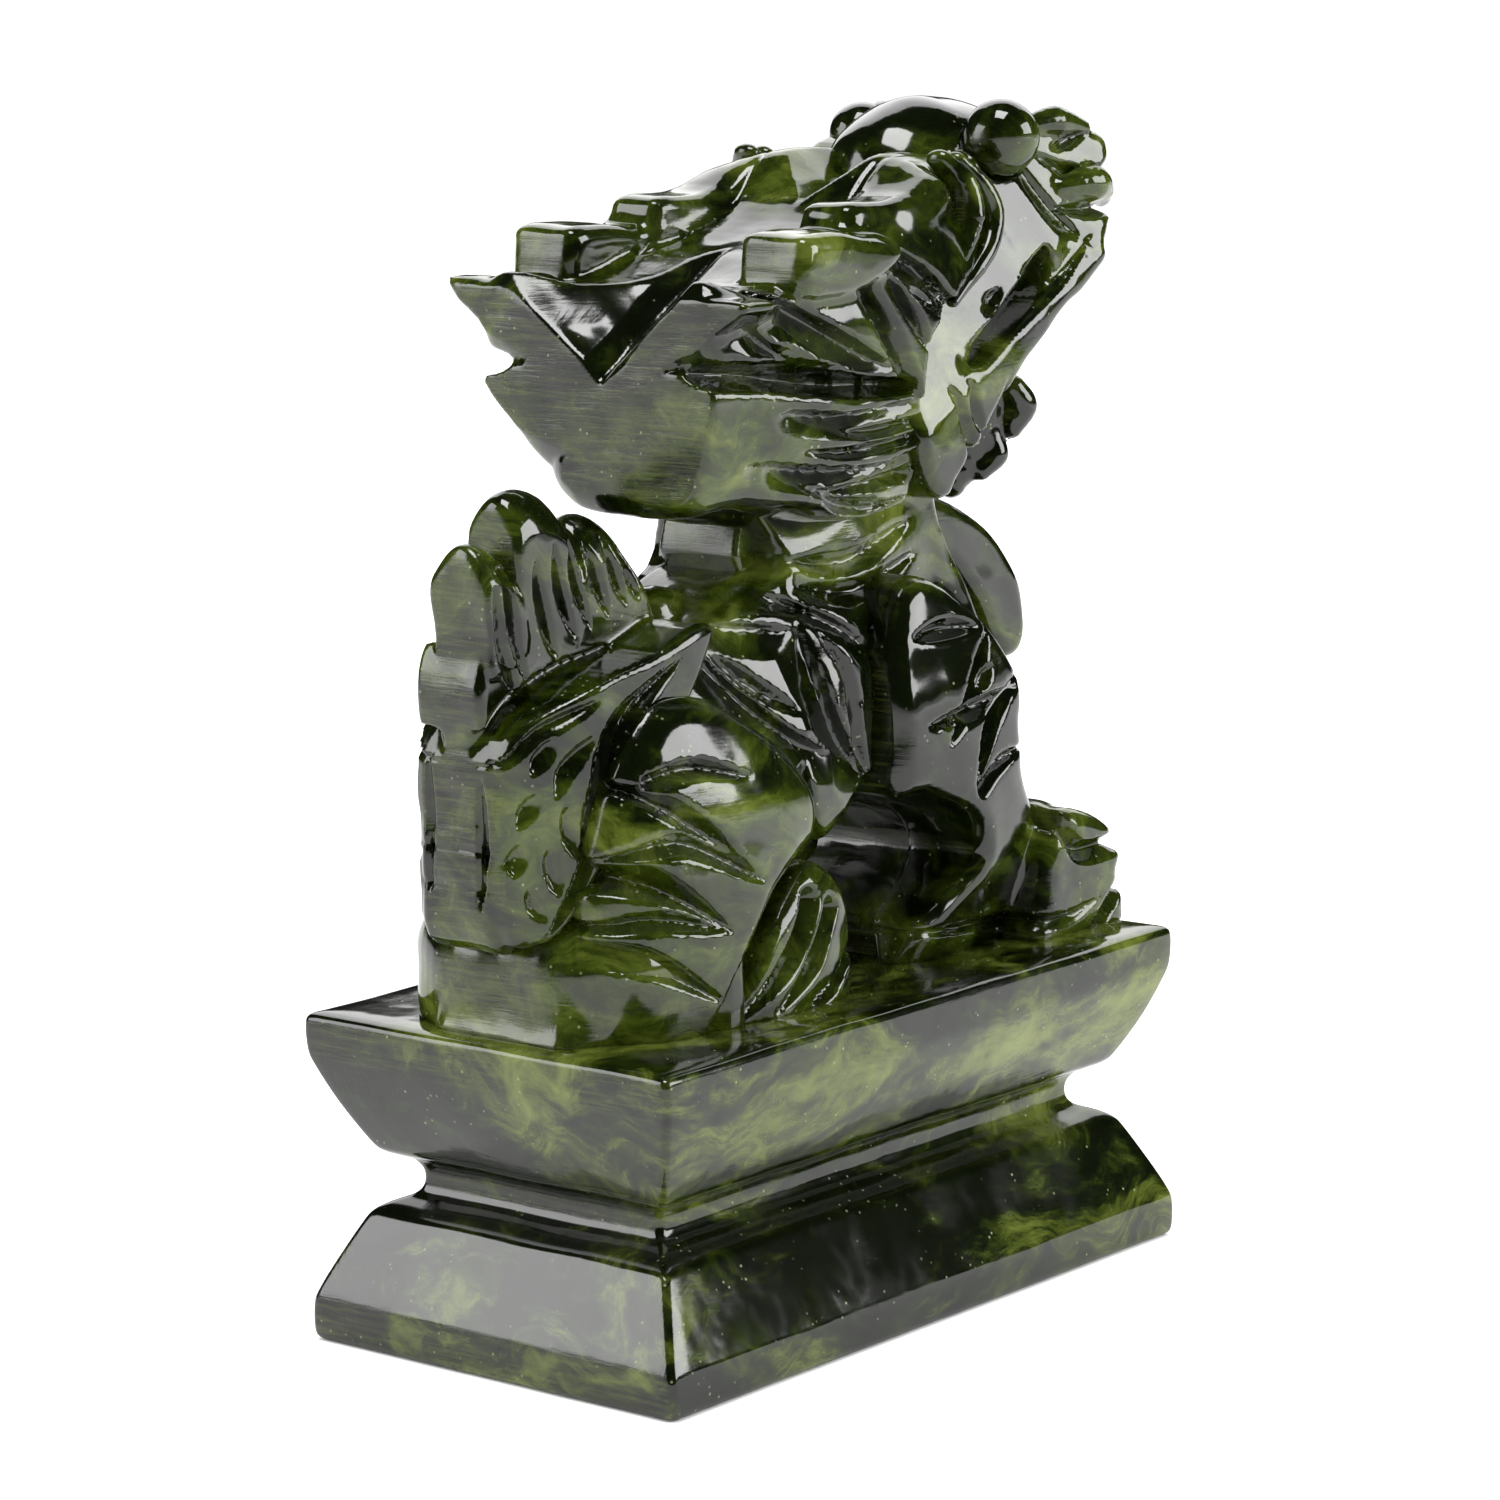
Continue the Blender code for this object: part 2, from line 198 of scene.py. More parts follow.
def gouges(u, v, strokes):
    # depth map of tapered V cuts; a stroke is (points, half width, depth, taper both, start, end or none)
    depth = np.zeros(np.broadcast(u, v).shape, dtype=np.float32)
    for points, width, deep, taper in strokes:
        line = through(points, 5) if len(points) > 2 else np.array(points, dtype=float)
        away, where = alongLine(u, v, line)
        thin = {"both": np.sin(np.pi * np.clip(where, 0.02, 0.98)) ** 0.6,
                "start": np.clip(where * 1.6 + 0.12, 0, 1) ** 0.8,
                "end": np.clip((1 - where) * 1.6 + 0.12, 0, 1) ** 0.8,
                "none": 1.0}[taper]
        profile = np.clip(1 - away / (width * thin), 0, 1)
        depth = np.maximum(depth, deep * thin * profile ** 0.9)
    return depth


def shelves(u, v, steps):
    # depth map of one-sided cuts: a wall along the line, and a floor that rises on its right-hand side
    depth = np.zeros(np.broadcast(u, v).shape, dtype=np.float32)
    for points, reach, deep in steps:
        line = through(points, 5) if len(points) > 2 else np.array(points, dtype=float)
        away, where = alongLine(u, v, line)
        at = np.clip((where * (len(line) - 1)).astype(int), 0, len(line) - 2)
        along = np.diff(line, axis=0)[at]
        side = (u - line[at][..., 0]) * along[..., 1] - (v - line[at][..., 1]) * along[..., 0]
        ends = np.sin(np.pi * np.clip(where, 0.03, 0.97)) ** 0.5
        floor = np.where(side > 0, np.clip(1 - away / reach, 0, 1), np.clip(1 - away / shelfWall, 0, 1))
        depth = np.maximum(depth, deep * ends * floor)
    return depth


def netSurface(field, low, grain):
    # smooth quad mesh of the zero surface: one point per crossed cell, one face per crossed grid edge
    field = np.pad(field, 1, constant_values=grain)
    low = low - grain
    inside = field < 0
    corner = [(i, j, k) for i in (0, 1) for j in (0, 1) for k in (0, 1)]
    size = [n - 1 for n in field.shape]

    def shifted(array, offset):
        return array[tuple(slice(o, o + n) for o, n in zip(offset, size))]

    count = sum(shifted(inside, c).astype(np.int8) for c in corner)
    active = (count > 0) & (count < 8)
    cells = np.argwhere(active)
    number = np.full(active.shape, -1, dtype=np.int64)
    number[active] = np.arange(len(cells))
    values = {c: field[tuple((cells + c).T)] for c in corner}
    total = np.zeros((len(cells), 3))
    hits = np.zeros(len(cells))
    for a in corner:
        for axis in range(3):
            if a[axis]:
                continue
            b = tuple(1 if i == axis else a[i] for i in range(3))
            va, vb = values[a], values[b]
            crossed = (va < 0) != (vb < 0)
            t = np.where(crossed, va / np.where(crossed, va - vb, 1), 0)
            point = np.array(a, dtype=float) + t[:, None] * np.eye(3)[axis]
            total += point * crossed[:, None]
            hits += crossed
    points = (cells + total / hits[:, None]) * grain + low
    faces = []
    for axis in range(3):
        u, v = (axis + 1) % 3, (axis + 2) % 3
        head = [slice(None)] * 3
        tail = [slice(None)] * 3
        head[axis], tail[axis] = slice(0, -1), slice(1, None)
        a, b = inside[tuple(head)], inside[tuple(tail)]
        crossing = np.argwhere(a != b)
        crossing = crossing[(crossing[:, u] > 0) & (crossing[:, v] > 0)]
        crossing = crossing[(crossing[:, u] < field.shape[u] - 1) & (crossing[:, v] < field.shape[v] - 1)]
        stepU, stepV = np.eye(3, dtype=int)[u], np.eye(3, dtype=int)[v]
        around = [crossing - stepU - stepV, crossing - stepV, crossing, crossing - stepU]
        quad = np.stack([number[tuple(c.T)] for c in around], axis=1)
        outwards = inside[tuple(crossing.T)]
        quad[~outwards] = quad[~outwards][:, ::-1]
        faces.append(quad)
    return mainShell(points, np.vstack(faces))


def mainShell(points, quads):
    # leaves out crumbs and closed bubbles that share no clean edge with the largest shell
    edges = np.sort(np.stack([quads, np.roll(quads, -1, axis=1)], axis=2).reshape(-1, 2), axis=1)
    key = edges[:, 0] * len(points) + edges[:, 1]
    order = np.argsort(key, kind="stable")
    starts = np.flatnonzero(np.append(True, np.diff(key[order]) > 0))
    shared = starts[np.diff(np.append(starts, len(key))) == 2]
    a, b = order[shared] // 4, order[shared + 1] // 4
    label = np.arange(len(quads))
    while True:
        lowest = np.minimum(label[a], label[b])
        fresh = label.copy()
        np.minimum.at(fresh, a, lowest)
        np.minimum.at(fresh, b, lowest)
        fresh = fresh[fresh]
        if np.array_equal(fresh, label):
            break
        label = fresh
    quads = quads[label == np.bincount(label).argmax()]
    used, renumbered = np.unique(quads, return_inverse=True)
    return points[used], renumbered.reshape(quads.shape)


def stoneMesh(name, points, quads, material):
    # mesh object from (forward, side, up) points in millimetres
    world = np.column_stack([points[:, 1], -points[:, 0], points[:, 2]]) * mm
    mesh = bpy.data.meshes.new(name)
    mesh.vertices.add(len(world))
    mesh.vertices.foreach_set("co", world.astype(np.float32).ravel())
    mesh.loops.add(quads.size)
    mesh.loops.foreach_set("vertex_index", quads.astype(np.int32).ravel())
    mesh.polygons.add(len(quads))
    mesh.polygons.foreach_set("loop_start", np.arange(0, quads.size, 4, dtype=np.int32))
    mesh.update(calc_edges=True)
    mesh.validate()
    mesh.shade_smooth()
    mesh.materials.append(material)
    piece = bpy.data.objects.new(name, mesh)
    bpy.context.collection.objects.link(piece)
    return piece


def declare(piece, slotName, *nodes):
    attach(piece, "root")
    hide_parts(*nodes)
    return piece


def carve(name, stone, material, slotName, *nodes):
    stone.wobble(handWaver)
    points, quads = netSurface(stone.field, stone.low, stone.grain)
    return declare(stoneMesh(name, points, quads, material), slotName, *nodes)


def carvePair(name, stone, material, slotName, node):
    # the right-hand piece as carved, and its mirror image on the left
    stone.wobble(handWaver)
    points, quads = netSurface(stone.field, stone.low, stone.grain)
    declare(stoneMesh(f"{name}Right", points, quads, material), slotName, f"{node}_right")
    mirrored = points * np.array([1, -1, 1])
    declare(stoneMesh(f"{name}Left", mirrored, quads[:, ::-1], material), slotName, f"{node}_left")


class Sock:
    # a node output that can be added, multiplied and so on, which lays down Math nodes

    def __init__(self, graph, socket):
        self.graph, self.socket = graph, socket

    def math(self, operation, a, b):
        return self.graph.add("ShaderNodeMath", {"operation": operation}, {0: a, 1: b})

    def __add__(self, other):
        return self.math("ADD", self, other)

    def __radd__(self, other):
        return self.math("ADD", other, self)

    def __sub__(self, other):
        return self.math("SUBTRACT", self, other)

    def __rsub__(self, other):
        return self.math("SUBTRACT", other, self)

    def __mul__(self, other):
        return self.math("MULTIPLY", self, other)

    def __rmul__(self, other):
        return self.math("MULTIPLY", other, self)


class Graph:
    # the node tree of a material or world, with the shader it starts with kept at hand

    def __init__(self, owner, shaderName="Principled BSDF"):
        owner.use_nodes = True
        self.owner = owner
        self.tree = owner.node_tree
        self.shader = self.tree.nodes[shaderName]

    def set(self, target, value):
        if isinstance(value, Sock):
            self.tree.links.new(value.socket, target)
        else:
            target.default_value = value

    def add(self, kind, settings=None, values=None, output=0):
        node = self.tree.nodes.new(kind)
        for key, value in (settings or {}).items():
            setattr(node, key, value)
        for key, value in (values or {}).items():
            self.set(node.inputs[key], value)
        return Sock(self, node.outputs[output])

    def shade(self, **sockets):
        for name, value in sockets.items():
            self.set(self.shader.inputs[name.replace("_", " ")], value)

    def noise(self, vector, scale, detail=4.0, roughness=0.55, distortion=0.0):
        return self.add("ShaderNodeTexNoise", {"noise_dimensions": "3D"},
                        {"Vector": vector, "Scale": scale, "Detail": detail, "Roughness": roughness,
                         "Distortion": distortion})

    def stretch(self, vector, scale, turn=(0, 0, 0)):
        return self.add("ShaderNodeMapping", {"vector_type": "POINT"},
                        {"Vector": vector, "Scale": scale, "Rotation": turn})

    def band(self, value, low, high):
        # 0 below low, 1 above high, smooth between
        return self.add("ShaderNodeMapRange", {"interpolation_type": "SMOOTHSTEP"},
                        {"Value": value, "From Min": low, "From Max": high})

    def blendColours(self, amount, a, b):
        a, b = (colour if isinstance(colour, Sock) else (*colour, 1) for colour in (a, b))
        return self.add("ShaderNodeMix", {"data_type": "RGBA"}, {"Factor": amount, 6: a, 7: b}, output=2)


jadeLook = {
    "darkest": (0.0016, 0.0028, 0.0004),
    "dark": (0.0056, 0.0098, 0.0008),
    "green": (0.032, 0.047, 0.0035),
    "cloud": (0.130, 0.155, 0.028),
    "fleck": (0.40, 0.44, 0.24),
    "cloudSize": 42.0,
    "veinSize": 95.0,
    "fleckSize": 900.0,
    "glow": 0.07,
    "glowReach": (0.9, 1.0, 0.35),
    "glowDepth": 0.0016,
    "ior": 1.57,
}


def jade(name, cloudShare, roughness, scratchDepth=1.0):
    # polished serpentine jade: dark green body, yellow-green clouds, pale flecks, grinding and saw marks
    look = jadeLook
    g = Graph(bpy.data.materials.new(name))
    place = g.add("ShaderNodeTexCoord", output=3)
    drift = g.noise(place, 60.0, 3.0)
    warped = g.add("ShaderNodeVectorMath", {"operation": "MULTIPLY_ADD"},
                   {0: g.add("ShaderNodeCombineXYZ", None, {0: drift, 1: drift * 0.7, 2: drift * 1.3}),
                    1: (0.012, 0.012, 0.012), 2: place})
    slanted = g.stretch(warped, (1.0, 0.55, 1.4), (0.5, 0.3, 0.2))
    clouds = g.noise(slanted, look["cloudSize"], 6.0, 0.62, 0.8)
    veins = g.noise(slanted, look["veinSize"], 7.0, 0.7, 1.6)
    fine = g.noise(place, 420.0, 4.0, 0.6)
    normal = g.add("ShaderNodeNewGeometry", output=1)
    rearwards = g.add("ShaderNodeSeparateXYZ", None, {0: normal}, output=1)
    sawnFace = g.band(rearwards, 0.93, 0.985)
    saw = g.noise(g.stretch(place, (150.0, 150.0, 2600.0), (0.0, 0.03, 0.0)), 1.0, 4.0, 0.65)
    body = g.blendColours(g.band(clouds * 0.7 + veins * 0.3, 0.41, 0.56), look["darkest"], look["dark"])
    body = g.blendColours(g.band(clouds * 0.6 + veins * 0.4, 0.45, 0.61), body, look["green"])
    cloudy = g.band(clouds * 0.55 + veins * 0.35 + fine * 0.1, 0.60 - cloudShare, 0.78 - cloudShare)
    body = g.blendColours(cloudy * 0.9, body, look["cloud"])
    body = g.blendColours(sawnFace * g.band(saw, 0.40, 0.75) * 0.22, body, look["cloud"])
    specks = g.add("ShaderNodeTexVoronoi", {"feature": "F1"}, {"Vector": place, "Scale": look["fleckSize"]})
    rare = g.band(g.noise(place, 260.0, 2.0), 0.50, 0.62)
    flecks = (1 - g.band(specks, 0.06, 0.18)) * rare
    body = g.blendColours(flecks * 0.35, body, look["fleck"])

    ground = g.noise(g.stretch(place, (260.0, 260.0, 2600.0), (0.1, 0.05, 0.0)), 1.0, 3.0, 0.6)
    crossed = g.noise(g.stretch(place, (2400.0, 300.0, 300.0), (0.4, 0.7, 0.9)), 1.0, 3.0, 0.6)
    swell = g.noise(place, 130.0, 2.0, 0.5)
    patches = g.band(g.noise(place, 75.0, 3.0), 0.48, 0.62)
    height = (swell * 0.4 + (ground + crossed) * patches * 0.07 * scratchDepth + fine * 0.02
              + sawnFace * saw * 0.16 * scratchDepth)
    bump = g.add("ShaderNodeBump", None, {"Strength": 0.35, "Distance": 0.0009, "Height": height})
    dullness = roughness + patches * 0.06 + flecks * 0.2 + sawnFace * 0.16
    g.shade(Base_Color=body, Roughness=dullness, Normal=bump, IOR=look["ior"])
    g.shade(Subsurface_Weight=look["glow"], Subsurface_Radius=look["glowReach"],
            Subsurface_Scale=look["glowDepth"])
    return g.owner


cameraView = {"azimuth": -140.4, "elevation": 10.1, "roll": -0.99, "target": (-11.73, 13.87, 60.0),
              "distance": 500.0, "lens": 121.33}


def placeCamera(view):
    # camera on a line from the target, azimuth 0 looking along +Y
    azimuth, elevation, roll = (math.radians(view[key]) for key in ("azimuth", "elevation", "roll"))
    back = Vector((math.sin(azimuth) * math.cos(elevation), -math.cos(azimuth) * math.cos(elevation),
                   math.sin(elevation)))
    right = Vector((0, 0, 1)).cross(back).normalized()
    up = back.cross(right)
    turned = (math.cos(roll) * right + math.sin(roll) * up, math.cos(roll) * up - math.sin(roll) * right)
    camera = bpy.data.objects.new("studioCamera", bpy.data.cameras.new("studioCamera"))
    bpy.context.collection.objects.link(camera)
    spot = (Vector(view["target"]) + back * view["distance"]) * mm
    camera.matrix_world = Matrix.Translation(spot) @ Matrix((*turned, back)).transposed().to_4x4()
    camera.data.lens = view["lens"]
    camera.data.sensor_width = 36.0
    camera.data.clip_start = 0.01
    bpy.context.scene.camera = camera


lamps = [
    {"name": "overheadSoftbox", "place": (-0.05, 0.20, 1.10), "size": (0.45, 0.45), "power": 7.5},
    {"name": "leftSoftbox", "place": (0.66, 0.70, 0.46), "size": (0.5, 0.6), "power": 5.0},
    {"name": "farSoftbox", "place": (0.52, -0.74, 0.66), "size": (1.1, 0.8), "power": 6.5},
    {"name": "rightSoftbox", "place": (-0.95, -0.50, 0.46), "size": (0.7, 0.6), "power": 11.0},
]
room = {"light": 1.06, "reflected": 0.02, "tint": (0.93, 0.97, 1.0)}


def placeLamps():
    for lamp in lamps:
        light = bpy.data.lights.new(lamp["name"], "AREA")
        light.shape = "RECTANGLE"
        light.size, light.size_y = lamp["size"]
        light.energy = lamp["power"]
        thing = bpy.data.objects.new(lamp["name"], light)
        bpy.context.collection.objects.link(thing)
        thing.location = lamp["place"]
        thing.rotation_euler = (Vector((0, 0, 0.07)) - thing.location).to_track_quat("-Z", "Y").to_euler()
    # an even white tent, which the polish sees only dimly
    g = Graph(bpy.data.worlds.new("whiteTent"), "Background")
    g.shade(Color=(1, 1, 1, 1), Strength=room["light"])
    dim = g.add("ShaderNodeBackground", None, {"Color": (*room["tint"], 1), "Strength": room["reflected"]})
    polish = g.add("ShaderNodeLightPath", output="Is Glossy Ray")
    choice = g.add("ShaderNodeMixShader", None, {0: polish, 1: Sock(g, g.shader.outputs[0]), 2: dim})
    g.set(g.tree.nodes["World Output"].inputs["Surface"], choice)
    bpy.context.scene.world = g.owner


floorLook = {"seen": (0.96, 0.96, 0.96), "mirrored": (0.74, 0.74, 0.74), "roughness": 0.9, "reach": 5.0}


def placeFloor():
    g = Graph(bpy.data.materials.new("palePaper"))
    # duller where the polish mirrors it
    polish = g.add("ShaderNodeLightPath", output="Is Glossy Ray")
    paper = g.blendColours(polish, floorLook["seen"], floorLook["mirrored"])
    g.shade(Base_Color=paper, Roughness=floorLook["roughness"], Specular_IOR_Level=0.0)
    mesh = bpy.data.meshes.new("paleFloor")
    r = floorLook["reach"]
    mesh.from_pydata([(-r, -r, 0), (r, -r, 0), (r, r, 0), (-r, r, 0)], [], [(0, 1, 2, 3)])
    mesh.materials.append(g.owner)
    floor = bpy.data.objects.new("paleFloor", mesh)
    bpy.context.collection.objects.link(floor)


placeCamera(cameraView)
placeLamps()
placeFloor()
bpy.context.scene.view_settings.view_transform = "Standard"
print("camera, lights and floor placed")

pedestalJade = jade("pedestalJade", 0.115, 0.10)
figureJade = jade("figureJade", 0.075, 0.085)
eyeJade = jade("eyeJade", 0.0, 0.05, 0.0)
print("jade mixed")


pedestal = {
    "length": (pedestalHigh[1] - pedestalLow[1]) / mm,
    "width": (pedestalHigh[0] - pedestalLow[0]) / mm,
    "profile": [(1.2, 0.0), (0.3, 0.3), (0.0, 1.3), (0.0, 3.8), (0.35, 5.2), (1.6, 8.0), (3.6, 12.0),
                (4.4, 13.2), (5.6, 14.0), (7.4, 14.8), (8.1, 15.8), (8.1, 17.3), (7.4, 18.4), (6.4, 18.9),
                (5.2, 19.5), (4.3, 20.6), (2.2, 24.6), (0.6, 28.4), (0.1, 30.2), (0.0, 32.8), (0.35, 33.7),
                (1.4, 34.0)],
    "corner": 0.8,
    "waver": 0.05,
}


def makePedestal(spec):
    # rings of a rounded rectangle up the profile, each point nudged a little as hand grinding leaves it
    profile = through(spec["profile"], 4)
    sideSteps, cornerSteps = 46, 6
    rings = []
    for inset, height in profile:
        a = spec["length"] / 2 - inset
        b = spec["width"] / 2 - inset
        radius = spec["corner"]
        ring = []
        for turn, (signF, signS) in enumerate(((1, 1), (-1, 1), (-1, -1), (1, -1))):
            centre = np.array([signF * (a - radius), signS * (b - radius)])
            angles = np.radians(90 * turn + np.linspace(0, 90, cornerSteps))
            ring.append(centre + radius * np.column_stack([np.cos(angles), np.sin(angles)]))
        whole = []
        for i, arc in enumerate(ring):
            whole.append(arc)
            nextArc = ring[(i + 1) % 4]
            steps = np.linspace(0, 1, sideSteps + 2)[1:-1, None]
            whole.append(arc[-1] * (1 - steps) + nextArc[0] * steps)
        flat = np.vstack(whole)
        rings.append(np.column_stack([flat, np.full(len(flat), height)]))
    around = len(rings[0])
    points = np.vstack(rings)
    f, s, z = points.T
    wave = (np.sin(f * 0.21 + z * 0.33 + 1.0) + np.sin(s * 0.37 - z * 0.21 + f * 0.11)
            + 0.6 * np.sin(f * 0.53 + s * 0.41)) / 2.6
    outwards = np.column_stack([f / (spec["length"] / 2), s / (spec["width"] / 2)])
    outwards /= np.maximum(np.abs(outwards).max(axis=1, keepdims=True), 1e-6)
    points[:, :2] -= outwards * (spec["waver"] * (1 + wave))[:, None]
    points[:, 2] += np.where(z > 1, 0.1 * wave, 0)
    quads = []
    for level in range(len(rings) - 1):
        i = np.arange(around)
        j = (i + 1) % around
        quads.append(np.column_stack([i, j, j + around, i + around]) + level * around)
    return points, np.vstack(quads), around


def closeRings(points, quads, around):
    # fill the first and last ring with shrinking copies that end in a narrow strip
    for first, flip in ((0, True), (len(points) - around, False)):
        ring = np.arange(first, first + around)
        for share in (0.9, 0.75, 0.55, 0.3, 0.0):
            shrunk = points[first:first + around].copy()
            middle = np.column_stack([np.clip(shrunk[:, 0], -18, 18), np.zeros(around)])
            shrunk[:, :2] = middle + (shrunk[:, :2] - middle) * share
            start = len(points)
            points = np.vstack([points, shrunk])
            inner = np.arange(start, start + around)
            band = np.column_stack([ring, np.roll(ring, -1), np.roll(inner, -1), inner])
            quads = np.vstack([quads, band[:, ::-1] if flip else band])
            ring = inner
    return points, quads


pedestalPoints, pedestalQuads, aroundCount = makePedestal(pedestal)
pedestalPoints, pedestalQuads = closeRings(pedestalPoints, pedestalQuads, aroundCount)
plinth = stoneMesh("pedestalStone", pedestalPoints, pedestalQuads, pedestalJade)
declare(plinth, "pedestal_jade", "pedestal")
weld = plinth.modifiers.new("weld", "WELD")
weld.merge_threshold = 0.01 * mm
print("pedestal ground")


body = {
    "grain": 0.4,
    "back": [(-36.0, 29.0), (-36.4, 40.0), (-35.0, 46.0), (-31.0, 55.0), (-25.0, 64.0), (-18.5, 70.6),
             (-13.0, 73.4), (-7.5, 75.2), (-4.6, 78.0), (-4.6, 86.0), (18.0, 86.0), (21.5, 79.0),
             (26.0, 72.0), (30.0, 64.0), (30.6, 55.0), (28.6, 46.0), (28.6, 29.0), (12.0, 29.0)],
    "hole": [(9.6, 32.0), (10.4, 37.0), (14.0, 40.2), (17.8, 42.4), (19.0, 45.0), (17.4, 48.2),
             (14.6, 50.0), (11.0, 51.6), (7.0, 53.0), (3.0, 53.0), (0.0, 50.6), (-4.0, 47.6), (-3.4, 43.0),
             (-1.8, 38.0), (-1.6, 32.0)],
    "rump": [(-20.0, 15.0), (-27.0, 16.4), (-32.8, 15.6), (-36.8, 12.2), (-38.8, 6.0), (-38.4, 0.0),
             (-38.2, -6.0), (-35.8, -10.8), (-32.0, -13.6), (-27.0, -14.6), (-20.0, -14.6)],
    "flank": [(-24, 62), (-16, 69.5), (-6, 73), (5, 73), (12, 70), (12, 54), (4, 53), (-4, 48), (-14, 48)],
    "flankSpan": 14.6,
    "facet": {"place": (-3, 14.2, 65), "lean": (-0.20, 0.91, 0.36)},
    "neck": ((9, 0, 74), (13.5, 10.2, 12)),
    "chest": ((18, 0, 60), (13.5, 12.5, 14)),
    "thirdScute": ([(-19, 0, 69), (-15.5, 0, 72.4), (-12, 0, 73)], [2.4, 3.2, 2.0]),
    "secondScute": [(-13, 70), (-13.2, 73.6), (-9.5, 75.6), (-4, 76.4), (-4, 71)],
    "strokes": [([(-17, 70), (-12.5, 66), (-8, 63)], 1.1, 1.5, "both"),
                ([(-3.2, 71.2), (-0.6, 65.6), (0.4, 59.4), (4.2, 53.6)], 1.2, 1.8, "both"),
                ([(-25, 64.5), (-16, 61.4), (-8.5, 60.2)], 1.2, 1.6, "both"),
                ([(5.4, 70.6), (5, 60.5), (4.4, 52)], 1.5, 2.4, "both")],
    "neckFolds": [([(-4, 77.4), (5, 76.4), (15, 79.6)], 1.5, 1.8, "both"),
                  ([(-3, 74.6), (6, 73.4), (16, 76.4)], 1.4, 1.5, "both")],
    "facets": [([(-19, 70.8), (-12.5, 63.6), (-8, 60), (-1.2, 57.8)], 3.6, 1.9),
               ([(-20, 72.6), (-12, 71.8), (-4.6, 70.6)], 3.0, 1.3),
               ([(-4.8, 72.0), (-4.2, 66), (-2.6, 60.6), (2.8, 54.6)], 4.6, 1.9),
               ([(-11, 76.0), (-2, 71.9), (5.4, 67.2)], 2.4, 1.3),
               ([(-6.2, 60.0), (-7.6, 56.4), (-6.2, 51.6), (-3.2, 48.8)], 2.6, 1.6)],
}


def carveBody(spec):
    stone = Stone((-40, -18, 32.5), (33, 18, 87), spec["grain"])
    outline = ring(spec["back"])
    stone.join(stone.slab(outline, -9.5, 9.5, 2.5))
    flank = ring(spec["flank"])
    span = spec["flankSpan"]
    stone.join(stone.slab(flank, -span, span, 3.0, (-5, 60, 1.3)), 2.0)
    (f, s, z), (leanF, leanS, leanZ) = spec["facet"]["place"], spec["facet"]["lean"]
    for side in (-1, 1):
        stone.keep(stone.plane((f, side * s, z), (leanF, side * leanS, leanZ)), 0.3)
    stone.join(stone.ball(*spec["neck"]), 2.5)
    stone.join(stone.ball(*spec["chest"]), 3.0)
    stone.cut(stone.sideShape(ring(spec["hole"])), 0.8)
    stone.join(stone.limb(*spec["thirdScute"]), 0.6)
    stone.join(stone.slab(ring(spec["secondScute"]), -6.5, 6.5, 1.6), 0.5)
    f, z = stone.f[:, :, 0], stone.z[0]
    depth = np.maximum(gouges(f, z, spec["strokes"]), shelves(f, z, spec["facets"]))[:, None, :]
    stone.field += depth * np.clip((np.abs(stone.s) - 6) / 3, 0, 1)
    stone.field += gouges(f, z, spec["neckFolds"])[:, None, :] * np.clip((np.abs(stone.s) - 3) / 3, 0, 1)
    rump = stone.planShape(ring(spec["rump"]))
    stone.join(stone.rounded(rump, stone.z - 47.0, 6.5), 1.0)
    stone.keep(slabTop - sunk - stone.z, 0.3)
    return stone


carve("bodyStone", carveBody(body), figureJade, "figure_jade", "torso")
print("body carved")


haunch = {
    "grain": 0.34,
    "thigh": [(-26, 29.0), (-21, 38.6), (-17.8, 44.0), (-13.0, 48.6), (-8.6, 50.4), (-7.2, 54.0),
              (-9.6, 58.6), (-15.0, 63.0), (-22.0, 66.8), (-29.0, 66.6), (-34.0, 60.0), (-37.0, 50.0),
              (-37.6, 40.0), (-37.2, 29.0)],
    "paw": [(-25.0, 29.0), (-21.0, 37.6), (-17.6, 42.6), (-13.4, 46.6), (-9.0, 48.4), (-5.0, 45.4),
            (-3.2, 41.0), (-2.4, 36.0), (-2.2, 29.0)],
    "plan": [(-38.0, -5.0), (-37.0, -9.0), (-34.4, -12.6), (-30.0, -15.8), (-22.0, -17.6), (-10.0, -17.6),
             (-4.4, -16.6), (-1.6, -13.6), (-1.4, -6.0)],
    "strokes": [([(-31.0, 59.4), (-26, 60.2), (-19.4, 58.6)], 1.2, 1.9, "end"),
                ([(-35.0, 60.0), (-29.0, 56.4), (-22.0, 51.0)], 1.4, 2.2, "both"),
                ([(-36.0, 52.0), (-28.0, 53.2), (-19.0, 48.4)], 1.4, 2.2, "both"),
                ([(-40.0, 50.4), (-32.6, 50.0), (-23.6, 44.2)], 1.8, 2.6, "end"),
                ([(-38.4, 45.2), (-31.0, 46.0), (-24.0, 44.2)], 1.2, 1.7, "both"),
                ([(-40.0, 43.6), (-33.0, 42.2), (-25.0, 37.4)], 1.5, 2.2, "end")],
    "crease": [([(-24.6, 34.4), (-20.4, 39.4), (-17.0, 44.6), (-12.6, 48.8),
                 (-8.2, 50.2)], 1.3, 1.5, "end")],
    "toes": [([(-17.6, 44.0), (-21.0, 39.6), (-24.6, 34.4)], 1.4, 2.0, "none"),
             ([(-11.4, 45.0), (-14.6, 40.0), (-21.6, 34.6)], 1.5, 2.2, "end"),
             ([(-8.2, 43.6), (-11.6, 38.4), (-17.0, 34.4)], 1.3, 2.0, "end"),
             ([(-4.0, 38.6), (-7.4, 35.8), (-10.4, 34.4)], 1.0, 1.5, "none")],
}


